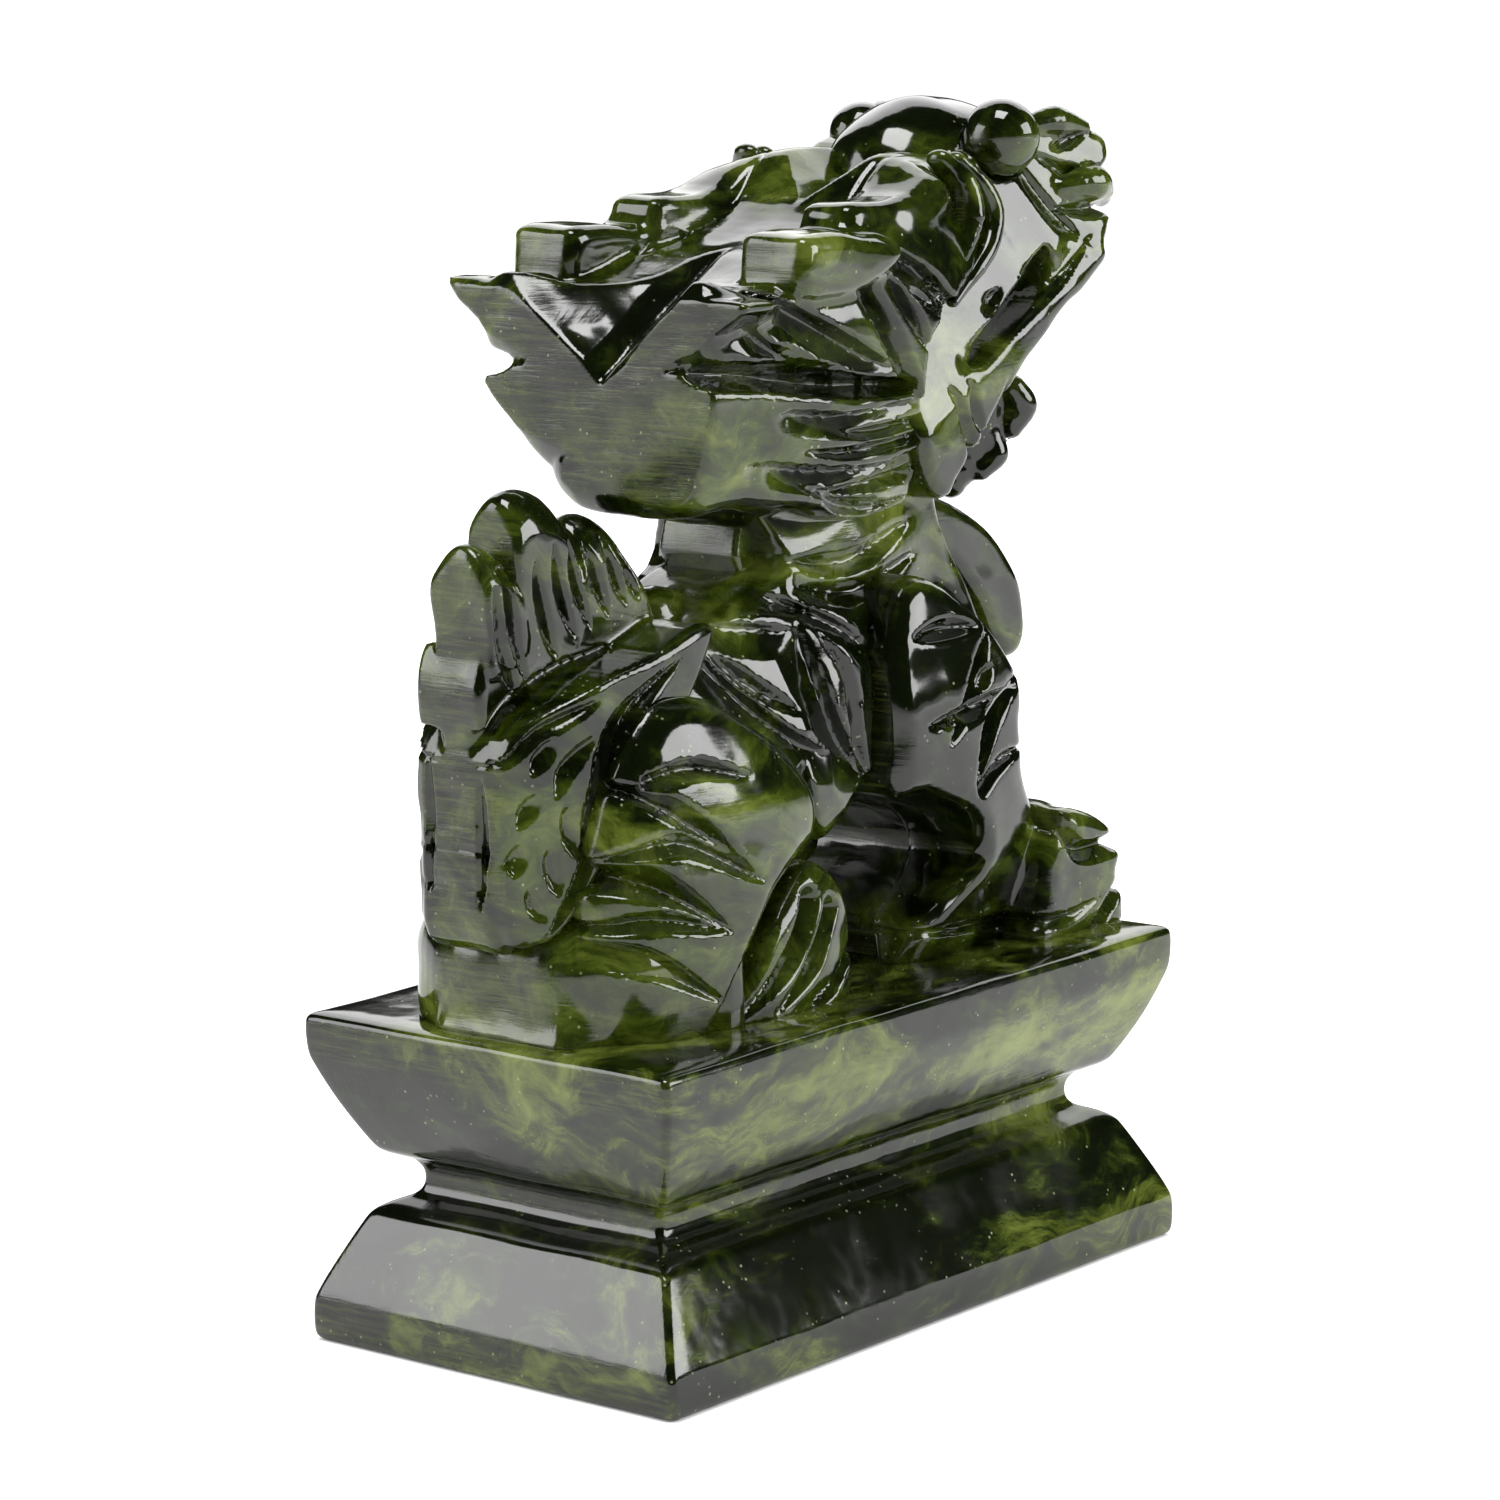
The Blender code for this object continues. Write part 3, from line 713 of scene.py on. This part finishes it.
def carveHaunch(spec):
    stone = Stone((-41, -20, 32.5), (0, -4, 69), spec["grain"])
    thigh = stone.slab(ring(spec["thigh"]), -19.2, -3.0, 3.0, (-20, 46, 1.5))
    stone.join(smoothMax(thigh, stone.planShape(ring(spec["plan"])), 3.5))
    paw = stone.slab(ring(spec["paw"]), -18.6, -3.0, 1.8, (-12, 39, 2.2))
    stone.join(smoothMax(paw, stone.planShape(ring(spec["plan"])), 2.0), 0.4)
    marks = gouges(stone.f[:, :, 0], stone.z[0], spec["strokes"] + spec["toes"] + spec["crease"])
    stone.field += marks[:, None, :]
    stone.keep(slabTop - sunk - stone.z, 0.3)
    return stone


carvePair("haunch", carveHaunch(haunch), figureJade, "figure_jade", "haunch")
print("haunches carved")


foreleg = {
    "grain": 0.34,
    "outline": [(4.4, 53.0), (8.6, 52.6), (12.0, 51.2), (15.6, 49.4), (18.2, 47.0), (18.8, 44.2),
                (16.2, 41.8), (12.6, 39.4), (10.2, 37.4), (9.6, 29.0), (26.0, 28.6), (41.8, 29.0),
                (42.2, 37.2), (41.4, 39.0), (42.0, 41.0), (40.4, 44.4), (36.0, 46.8), (31.0, 47.4),
                (28.0, 50.0), (26.0, 53.6), (25.3, 57.0), (26.0, 60.0), (24.8, 64.0), (20.0, 69.0),
                (13.0, 74.0), (8.4, 74.0), (5.2, 69.0), (4.6, 60.0)],
    "paw": [(27.0, 28.6), (27.6, 40.0), (30.6, 46.6), (36.0, 46.6), (40.4, 44.2), (42.0, 41.0),
            (41.4, 39.0), (42.2, 37.0), (41.8, 28.6)],
    "toes": [([(-14.6, 45.4), (-14.6, 34.0)], 1.0, 1.3, "none"), ([(-10.6, 45.6),
                                                                   (-10.6, 34.0)], 1.0, 1.3, "none")],
    "strokes": [([(7.5, 68.6), (12.6, 69.0), (18.0, 68.6)], 1.2, 1.8, "both"),
                ([(19.4, 68.4), (15.6, 62.4), (11.6, 57.4)], 1.2, 1.8, "both"),
                ([(19.0, 64.6), (16.6, 62.0)], 0.9, 1.2, "both"),
                ([(8.4, 59.6), (16.6, 60.4), (24.6, 61.6)], 1.3, 1.9, "both"),
                ([(25.0, 63.0), (19.0, 59.0), (16.0, 52.6)], 1.3, 1.8, "both"),
                ([(25.4, 55.2), (20.6, 54.2), (17.2, 52.0)], 1.2, 1.7, "start"),
                ([(30.0, 47.6), (32.6, 43.4), (36.0, 42.4), (42.4, 42.6)], 1.3, 1.9, "none"),
                ([(42.4, 38.6), (39.6, 36.6), (36.8, 34.4)], 1.1, 1.6, "none"),
                ([(9.0, 37.4), (20.0, 36.6), (31.0, 35.8), (37.0, 37.2)], 1.0, 1.1, "both")],
}


def carveForeleg(spec):
    stone = Stone((2, -20, 32.5), (45, -4, 77), spec["grain"])
    stone.join(stone.slab(ring(spec["outline"]), -17.6, -3.0, 2.2, (15, 57, 0.9)))
    stone.join(stone.slab(ring(spec["paw"]), -17.6, -5.0, 2.0), 1.5)
    stone.field += gouges(stone.f[:, :, 0], stone.z[0], spec["strokes"])[:, None, :]
    front = gouges(stone.s[0], stone.z[0], spec["toes"])[None, :, :]
    stone.field += front * np.clip((stone.f - 34) / 3, 0, 1)
    stone.keep(slabTop - sunk - stone.z, 0.3)
    return stone


carvePair("foreleg", carveForeleg(foreleg), figureJade, "figure_jade", "foreleg")
print("forelegs carved")


tail = {
    "grain": 0.26,
    "centre": 1.7,
    # outline, sideways shift, half width, rim radius
    "lobes": [("lowLobe", 0.3, 4.6, 0.8), ("neckLobe", 0.4, 4.3, 0.8), ("topLobe", -1.0, 3.9, 0.6),
              ("midLobe", -1.2, 3.6, 0.8), ("frontLobe", -0.8, 4.1, 1.0)],
    "rearCuts": [([(5.4, 62), (5.2, 54.0), (5.6, 48)], 0.6, 0.8, "both"),
                 ([(-1.2, 60.6), (-1.6, 54.0), (-1.2, 47)], 0.7, 1.1, "both")],
    "lowLobe": [(-41.8, 44.0), (-42.2, 48.8), (-41.7, 49.4), (-42.3, 50.0), (-42.3, 52.6), (-41.8, 53.2),
                (-42.3, 53.8), (-41.8, 57.0), (-41.9, 61.6), (-41.2, 63.0), (-37.0, 64.0), (-34.0, 60.0),
                (-38.0, 44.0)],
    "neckLobe": [(-41.0, 61.0), (-41.8, 63.4), (-42.5, 66.0), (-42.6, 69.0), (-41.6, 72.4), (-40.6, 73.6),
                 (-37.0, 74.0), (-36.0, 62.0)],
    "topLobe": [(-41.4, 70.0), (-41.8, 74.0), (-42.3, 79.0), (-42.1, 81.8), (-41.2, 82.8), (-39.0, 82.0),
                (-37.0, 79.0), (-36.4, 72.0)],
    "midLobe": [(-38.4, 68.0), (-37.7, 76.0), (-37.6, 84.6), (-36.6, 86.8), (-33.8, 87.2), (-30.8, 85.8),
                (-28.6, 82.4), (-27.2, 76.0), (-27.0, 68.0)],
    "frontLobe": [(-30.0, 68.0), (-29.0, 76.0), (-28.2, 82.4), (-25.8, 84.0), (-22.6, 83.0), (-19.8, 79.6),
                  (-18.0, 75.4), (-17.4, 71.0), (-19.0, 68.0)],
    "wedge": [(-42.0, 46.0), (-42.0, 62.0), (-39.0, 66.8), (-32.0, 69.6), (-25.0, 71.2), (-18.8, 73.2),
              (-17.4, 71.0), (-24.0, 62.0), (-34.0, 49.0), (-38.0, 44.0)],
    "plan": [(-42.2, -3.0), (-40.0, -5.2), (-36.0, -7.8), (-30.0, -9.6), (-16.0, -10.4), (-16.0, 10.4),
             (-30.0, 10.4), (-36.0, 9.4), (-40.0, 7.6), (-42.2, 6.3)],
    "fingers": [([(-39.4, 80.0), (-38.6, 74.0), (-36.6, 68.6)], 0.9, 1.5, "end"),
                ([(-41.2, 79.0), (-40.2, 72.6), (-38.0, 67.8)], 0.8, 1.2, "both"),
                ([(-35.2, 80.6), (-34.4, 76.0), (-32.6, 71.0)], 0.9, 1.6, "both"),
                ([(-32.6, 82.0), (-31.6, 77.0), (-29.8, 72.6)], 0.9, 1.6, "both"),
                ([(-30.2, 82.6), (-29.4, 78.0), (-27.6, 73.2)], 0.8, 1.5, "both"),
                ([(-27.2, 81.6), (-26.4, 78.0), (-25.0, 74.2)], 0.9, 1.5, "both"),
                ([(-24.6, 82.2), (-23.8, 78.4), (-22.4, 75.0)], 0.9, 1.5, "both"),
                ([(-22.2, 80.6), (-21.4, 77.8), (-20.4, 75.2)], 0.8, 1.2, "both")],
    "locks": [([(-42.6, 62.8), (-39.2, 66.8), (-33.0, 69.6), (-25.0, 71.2)], 1.0, 1.7, "end"),
              ([(-42.0, 61.4), (-38.4, 64.8), (-33.0, 67.4)], 0.8, 1.1, "both"),
              ([(-24.6, 69.8), (-31.4, 64.6), (-33.6, 57.6), (-35.0, 51.0),
                (-38.4, 44.6)], 1.0, 1.5, "both"),
              ([(-22.6, 70.4), (-29.4, 65.2), (-32.4, 58.6)], 0.8, 1.1, "both"),
              ([(-37.4, 64.2), (-39.4, 60.8)], 0.9, 1.1, "both"),
              ([(-33.6, 64.0), (-36.4, 61.0), (-37.4, 58.4)], 0.9, 1.1, "both"),
              ([(-39.0, 58.8), (-40.6, 55.6)], 0.9, 1.0, "both"),
              ([(-36.6, 57.4), (-35.6, 52.4)], 0.9, 1.1, "both"),
              ([(-40.4, 54.0), (-41.2, 51.0)], 0.9, 1.0, "both"),
              ([(-38.2, 53.4), (-37.4, 48.8)], 0.9, 1.0, "both"),
              ([(-40.0, 49.4), (-38.6, 46.4)], 0.7, 0.8, "both")],
}


def carveTail(spec):
    stone = Stone((-44, -12.5, 42), (-14, 13, 89), spec["grain"])
    side = stone.s - spec["centre"]
    for name, shift, half, radius in spec["lobes"]:
        flat = stone.sideShape(ring(spec[name], 3))[:, 0, :]
        dome = 0.24 * (side[0] - shift) ** 2 * np.clip((stone.z[0] - 72) / 8, 0, 1)
        stone.join(stone.rounded(stone.bent(flat, dome), np.abs(side - shift) - half, radius), 0.2)
    wedge = stone.sideShape(ring(spec["wedge"], 3))
    wedge = stone.rounded(wedge, np.abs(stone.s) - 10.6, 1.2)
    stone.join(smoothMax(wedge, stone.planShape(ring(spec["plan"], 3)), 1.2), 0.5)
    marks = gouges(stone.f[:, :, 0], stone.z[0], spec["fingers"] + spec["locks"])[:, None, :]
    stone.field += marks * np.clip((np.abs(side) - 1.6) / 1.5, 0, 1)
    cuts = gouges(stone.s[0], stone.z[0], spec["rearCuts"])[None, :, :]
    stone.field += cuts * np.clip((-39.5 - stone.f) / 1.0, 0, 1)
    return stone


carve("tailFan", carveTail(tail), figureJade, "figure_jade", "tail")
print("tail carved")


nape = {
    "grain": 0.25,
    "outline": [(-2.0, 75.4), (-6.6, 75.6), (-7.6, 78.0), (-6.9, 81.2), (-2.0, 81.2)],
    "halfWidth": 5.1,
    "corner": (-7.2, 5.1, 78),
    "chamfer": 0.9,
}


def carveNape(spec):
    stone = Stone((-9, -7, 73), (-1, 7, 83), spec["grain"])
    stone.join(stone.slab(np.array(spec["outline"]), -spec["halfWidth"], spec["halfWidth"], 0.5))
    f, s, z = spec["corner"]
    for side in (-1, 1):
        stone.keep(stone.plane((f, side * s, z), (-1, side, 0)) - spec["chamfer"], 0.3)
    return stone


carve("napeScute", carveNape(nape), figureJade, "figure_jade", "nape_block")


mane = {
    "grain": 0.34,
    "rear": -22.7,
    "side": [(-22.7, 84.8), (-22.7, 105.4), (-17.0, 105.6), (-12.0, 105.8), (-6.0, 107.6), (2.0, 109.4),
             (8.0, 112.0), (11.6, 115.4), (14.6, 117.2), (21.0, 118.0), (27.0, 116.8), (27.0, 108.0),
             (21.0, 98.0), (18.0, 90.0), (15.0, 82.4), (8.0, 80.2), (0.0, 80.6), (-8.0, 82.4),
             (-16.0, 84.0)],
    "section": [(0, 79.6), (8, 80.0), (12.4, 82.0), (15.4, 86.0), (17.4, 92.0), (17.8, 98.0), (17.4, 104.0),
                (16.6, 108.0), (14.6, 112.6), (11.0, 116.6), (6.0, 118.6), (0, 119)],
    "farSection": [(0, 79.6), (5, 81.4), (9.0, 85.0), (12.4, 89.0), (15.2, 93.6), (17.4, 98.6),
                   (17.6, 104.0), (16.6, 108.0), (14.6, 112.6), (11.0, 116.6), (6.0, 118.6), (0, 119)],
    "rearTop": [(-0.8, 96.4), (1.4, 98.9), (5.4, 102.4), (9.9, 104.1), (13.0, 105.4), (16.6, 106.2),
                (19.9, 106.2)],
    "rearSide": [(18.0, 103.9), (15.2, 101.8), (11.3, 100.3), (9.0, 99.3), (8.4, 98.4), (9.4, 97.4),
                 (12.0, 97.2), (14.5, 97.2), (14.6, 95.8), (13.0, 94.2), (10.6, 92.0), (7.4, 91.0),
                 (4.2, 90.2), (3.0, 89.4), (4.2, 88.4), (4.4, 87.0), (3.0, 86.0), (0.4, 85.8)],
    "rearNear": [(-3.6, 85.8), (-8.8, 84.8), (-12.4, 86.4), (-14.0, 90.6), (-15.0, 94.6), (-14.6, 97.0),
                 (-12.0, 97.4), (-9.2, 97.6), (-8.6, 98.4), (-10.0, 99.6), (-13.0, 100.8), (-16.6, 102.6),
                 (-19.3, 104.4), (-18.4, 105.2), (-14.8, 105.3), (-12.0, 104.7), (-9.6, 105.0),
                 (-7.6, 103.8), (-6.0, 101.9), (-5.2, 100.0), (-4.2, 98.2), (-2.4, 97.0)],
    "face": [(27.0, 115.4), (24.6, 114.4), (24.0, 109.6), (19.6, 106.4), (12.6, 102.0), (8.8, 99.4),
             (7.2, 95.6), (7.4, 92.4), (7.8, 87.6), (10.4, 82.6), (12.0, 76.0), (34.0, 76.0),
             (34.0, 115.4)],
    "shelves": [([(-6.0, 109.6), (1.1, 109.0), (5.4, 107.5), (9.9, 105.0), (12.9, 102.7), (16.2, 102.0),
                  (18.0, 104.4)], 3.2, 2.0),
                ([(2.4, 96.8), (-0.9, 101.8), (-4.7, 107.0), (-8.0, 110.4)], 3.0, 2.2),
                ([(-14.8, 104.8), (-8.0, 101.8), (-1.0, 98.2), (3.0, 96.6)], 3.6, 2.6),
                ([(-19.0, 102.6), (-12.0, 98.8), (-2.0, 97.0)], 2.2, 1.6),
                ([(-12.8, 93.6), (-4.0, 92.6), (6.6, 93.2)], 2.4, 2.4),
                ([(-15.0, 88.6), (-6.0, 87.2), (2.0, 86.8), (7.6, 87.8)], 2.6, 2.8)],
    "gouges": [([(-3.5, 108.4), (-1.6, 105.3), (1.1, 101.2), (4.6, 95.9), (7.2, 92.6)], 1.5, 2.6, "both"),
               ([(1.6, 106.5), (3.9, 103.9), (6.3, 100.7), (8.1, 97.9)], 1.3, 2.2, "both"),
               ([(5.0, 104.6), (8.2, 103.4), (11.4, 101.6)], 1.1, 1.6, "both"),
               ([(-16, 100.4), (-9.4, 98.6)], 0.8, 1.0, "both"),
               ([(-8, 91.4), (0, 90.6), (7.0, 90.8)], 1.1, 1.9, "start"),
               ([(-11, 89.6), (-3, 88.8), (7.0, 89.4)], 0.9, 1.4, "start"),
               ([(-11, 86.2), (-3, 84.8), (7.4, 85.6)], 1.2, 2.0, "start"),
               ([(-9, 87.8), (-3, 84.0), (4.5, 82.2), (10.0, 82.8)], 1.1, 1.6, "both")],
    "topStrands": [([(-4.0, 8.6), (3.0, 7.6), (10.0, 7.4), (17.0, 8.6)], 0.8, 0.5, "both")],
    "rearCurl": [(-11.8, 104.8), (-12.1, 109.2), (-11.2, 110.7), (-7.0, 110.9), (-3.0, 110.4), (2.0, 109.4),
                 (4.4, 108.0), (1.4, 106.0), (-4.0, 104.6)],
    "frontCurl": [(-1.4, 108.8), (-1.6, 111.8), (-0.4, 113.0), (4.0, 113.0), (9.0, 113.4), (14.0, 115.0),
                  (16.0, 112.0), (10.0, 109.6), (4.0, 108.6)],
}


def carveMane(spec):
    stone = Stone((-24, -21, 77.5), (29, 21, 120.5), spec["grain"])
    near, far = through(spec["section"], 3), through(spec["farSection"], 3)
    section = np.vstack([far, (near * np.array([-1, 1]))[::-1][1:-1]])
    sideOutline = ring(spec["side"])
    bulge = stone.backShape(section) + 0.55 * ((stone.f - 2) / 10) ** 2 - 0.4
    stone.join(stone.rounded(stone.sideShape(sideOutline), bulge, 2.0))

    # the sawn rear outline opens forwards into the full section
    rear = np.vstack([through(spec["rearTop"], 3), spec["rearSide"], through(spec["rearNear"], 3)])
    rear = stone.backShape(rear)
    opening = np.clip((stone.f - spec["rear"]) / 15.0, 0, 1)
    wings = stone.rounded(stone.sideShape(sideOutline), rear, 0.4)
    wings = smoothMax(wings, stone.plane((-11, 0, 100), (1, 0, 0.25)), 3.0)
    stone.keep(rear - opening ** 0.75 * 15.0, 1.0)
    stone.join(wings, 1.2)

    flank = np.clip((np.abs(stone.s) - 7.0) / 4.0, 0, 1)
    f, z = stone.f[:, :, 0], stone.z[0]
    depth = np.maximum(gouges(f, z, spec["gouges"]), shelves(f, z, spec["shelves"]))
    stone.field += depth[:, None, :] * flank
    top = gouges(f, np.abs(stone.s[0, :, 0])[None, :], spec["topStrands"])[:, :, None]
    stone.field += top * np.clip((stone.z - 103) / 2, 0, 1)
    face = stone.sideShape(ring(spec["face"], 3))
    stone.cut(smoothMax(face, 9.5 - np.abs(stone.s), 1.0), 0.3)

    # long V cut down the middle of the rear top
    floor = np.interp(stone.f, [-23, -12, -3, 2], [96.3, 103.0, 108.0, 112.0])
    across = stone.s + 0.8
    far = np.where(across < 2.2, across * 1.05, 2.3 + (across - 2.2) * 0.72)
    walls = np.where(across > 0, far, -across * 0.86)
    stone.keep((stone.z - floor - walls) * 0.72, 0.3)
    for side in (-1, 1):
        # deep bite between the wing and the lobe below it, running forwards to the cheek
        stone.cut(stone.limb([(-25, side * 17.5, 98.2), (-14, side * 17.8, 97.2), (-4, side * 18.0, 95.4),
                              (5.5, side * 17.6, 94.6)], [1.4, 1.5, 1.3, 0.8], (1, 4.6, 1)), 0.5)
        back = (-2.2, 0) if side > 0 else (0, 0)
        curl = ring(spec["rearCurl"], 3) + back
        stone.join(stone.slab(curl, *sorted((side * 9.4, side * 18.6)), 1.5, (-6, 107.6, 0.6)), 0.9)
        curl = ring(spec["frontCurl"], 3) + np.array(back) * 0.4
        stone.join(stone.slab(curl, *sorted((side * 8.4, side * 15.8)), 1.5, (5, 110, 0.7)), 2.4)
    stone.keep(spec["rear"] - stone.f, 0.2)
    return stone


carve("maneLocks", carveMane(mane), figureJade, "figure_jade", "mane")
print("mane carved")


eye = {"grain": 0.2, "centres": [(29.0, -11.4, 117.9), (32.6, 9.6, 117.4)], "radii": [4.0, 3.6]}

head = {
    "grain": 0.34,
    "outline": [(9.6, 84.0), (13.0, 82.6), (18.0, 87.6), (24.4, 93.6), (29.6, 97.4), (33.6, 100.4),
                (37.0, 102.0), (40.4, 104.4), (40.6, 106.2), (41.6, 107.6), (43.6, 110.2), (44.2, 112.2),
                (43.0, 113.4), (44.8, 115.0), (44.4, 117.6), (38.0, 118.6), (30.0, 117.8), (25.0, 116.6),
                (23.4, 112.0), (20.0, 107.0), (13.6, 102.6), (9.6, 99.6), (8.0, 95.0), (8.4, 89.0)],
    "halfWidth": 13.9,
    # strokes of round relief, as on the left side
    "browKnob": [(34.6, 10.4, 118.8), (38.4, 11.4, 119.2), (42.2, 12.0, 118.2)],
    "cheekPit": [(27.0, 13.4, 113.6), (25.8, 14.8, 110.4), (26.4, 15.8, 107.4)],
    "upperCurl": [(39.6, 4.6, 90.6), (40.6, 5.0, 88.6), (40.0, 4.2, 86.4)],
    "lowerCurl": [(38.2, 2.6, 85.6), (38.6, 3.0, 83.6), (37.0, 2.4, 81.8)],
    "lipCurl": [(36.6, 13.4, 112.4), (41.0, 14.2, 112.6), (43.8, 13.4, 111.0)],
    "goatee": [(33.0, 0, 99.0), (37.6, 0, 93.0), (37.8, 0, 86.0), (34.8, 0, 80.6)],
    "mouth": [(35.0, 100.2), (44, 108.2), (47, 107.4), (41, 98.8)],
    "slit": [(31.8, 106.6), (26.0, 102.4), (18.6, 96.6), (18.4, 95.4), (20.6, 96.2), (28.0, 101.2),
             (32.2, 105.0)],
    "strokes": [([(24.4, 102.8), (21.0, 100.2)], 0.9, 0.9, "both"),
                ([(16.6, 94.4), (17.2, 91.0), (18.8, 88.2)], 0.9, 1.2, "both"),
                ([(23.0, 94.0), (21.4, 90.4), (17.6, 86.0)], 0.9, 1.2, "both"),
                ([(13.6, 94.0), (15.6, 89.6), (16.4, 86.0), (13.0, 83.4)], 1.0, 1.3, "both"),
                ([(34.4, 110.4), (38.4, 110.0), (43.4, 110.2)], 1.0, 1.6, "start"),
                ([(34.0, 116.2), (38.0, 114.0), (42.6, 113.4)], 1.0, 1.4, "start"),
                ([(36.4, 116.2), (42.2, 117.8)], 0.7, 0.8, "both")],
    "shelves": [([(31.6, 115.4), (34.4, 110.8), (37.6, 106.8)], 2.0, 0.9),
                ([(37.2, 106.4), (32.0, 102.8), (24.0, 98.6), (17.6, 95.4)], 2.4, 1.2)],
}


def mirrored(path, side):
    return [(f, side * s, z) for f, s, z in path]


def carveHead(spec):
    stone = Stone((6, -19, 78), (46, 19, 125), spec["grain"])
    # cheeks lean in towards the top and flare towards the muzzle
    half = np.clip(spec["halfWidth"] + 0.2 * (stone.f - 30) - 0.38 * (stone.z - 108), 11.4, 16.8)
    outline = stone.sideShape(ring(spec["outline"]))
    stone.join(stone.rounded(outline, (np.abs(stone.s) - half) * 0.95, 1.2))
    crown = stone.ball((30.5, 0, 112.4), (12.2, 9.8, 9.7))
    for side in (-1, 1):
        crown = smoothMax(crown, stone.plane((33.0, 0, 122.1), (0.10, 0.30 * side, 0.95)), 0.6)
        crown = smoothMax(crown, stone.plane((24.0, side * 7.0, 118.6), (-0.55, 0.45 * side, 0.72)), 0.5)
    stone.join(crown, 0.4)
    for side in (-1, 1):
        stone.join(stone.limb(mirrored(spec["browKnob"], side), [0.9, 1.6, 0.9]), 0.5)
        stone.cut(stone.limb(mirrored(spec["cheekPit"], side), [1.0, 1.9, 0.9]), 0.5)
    for centre, radius in zip(eye["centres"], eye["radii"]):
        stone.cut(stone.ball(centre, radius + 0.35), 0.2)                                      # eye sockets
    slit = stone.sideShape(ring(spec["slit"], 3))
    stone.cut(smoothMax(slit, 12.4 - np.abs(stone.s), 0.6), 0.3)
    marks = gouges(stone.f[:, :, 0], stone.z[0], spec["strokes"])
    steps = shelves(stone.f[:, :, 0], stone.z[0], spec["shelves"])
    stone.field += np.maximum(marks, steps)[:, None, :] * np.clip((np.abs(stone.s) - 6) / 2, 0, 1)
    stone.cut(stone.slab(np.array(spec["mouth"]), -10.5, 10.5, 0.4), 0.6)
    for side in (-1, 1):
        stone.join(stone.limb(mirrored(spec["upperCurl"], side), [1.5, 1.8, 1.3]), 0.4)
        stone.join(stone.limb(mirrored(spec["lowerCurl"], side), [1.3, 1.5, 1.0]), 0.4)
        stone.join(stone.ball((42.0, side * 8.4, 116.2), (3.0, 4.4, 2.6)), 0.6)      # nostril
        stone.join(stone.limb(mirrored(spec["lipCurl"], side), [1.0, 2.0, 1.2]), 0.5)
    stone.join(stone.limb(spec["goatee"], [5.0, 4.6, 3.6, 1.6]), 0.8)
    stone.join(stone.ball((40.6, 0, 116.0), (3.2, 6.4, 3.2)), 0.8)                   # nose
    return stone


carve("beastHead", carveHead(head), figureJade, "figure_jade", "head")
print("head carved")


ear = {
    "grain": 0.28,
    "outer": [(16.8, -12.6, 116.4), (18.2, -13.8, 114.2), (18.4, -14.8, 110.6), (16.4, -15.4, 106.6)],
    "inner": [(19.4, -12.6, 116.2), (21.4, -13.6, 113.8), (22.6, -14.4, 110.8), (21.4, -15.0, 108.0),
              (18.6, -15.4, 105.4), (14.6, -15.8, 102.2)],
}


def carveEar(spec):
    stone = Stone((11, -20, 99), (26, -9, 120), spec["grain"])
    stone.join(stone.limb(spec["outer"], [1.0, 1.4, 1.4, 0.7], (1, 1.6, 1)))
    stone.join(stone.limb(spec["inner"], [0.9, 1.2, 1.3, 1.2, 1.0, 0.5], (1, 1.5, 1)), 0.3)
    return stone


carvePair("ear", carveEar(ear), figureJade, "figure_jade", "ear")


def carveEye(spec, number):
    f, s, z = spec["centres"][number]
    stone = Stone((f - 5, s - 5, z - 5), (f + 5, s + 5, z + 5), spec["grain"])
    stone.join(stone.ball((f, s, z), spec["radii"][number]))
    return stone


carve("eyeRight", carveEye(eye, 0), eyeJade, "eye_jade", "eye_right")
carve("eyeLeft", carveEye(eye, 1), eyeJade, "eye_jade", "eye_left")


beard = {
    "grain": 0.3,
    "outline": [(20.0, 82.4), (26.0, 80.6), (33.0, 77.8), (38.0, 74.0), (41.4, 69.4), (42.4, 65.0),
                (41.2, 62.0), (38.6, 61.6), (36.4, 64.0), (33.0, 69.2), (28.0, 73.6), (20.0, 77.0)],
    "halfWidth": 4.6,
}


def carveBeard(spec):
    stone = Stone((15, -8, 57), (44, 8, 87), spec["grain"])
    outline = ring(spec["outline"])
    stone.join(stone.slab(outline, -spec["halfWidth"], spec["halfWidth"], 1.5))
    return stone


carve("beardStrap", carveBeard(beard), figureJade, "figure_jade", "beard")
print("ears, eyes and beard carved")
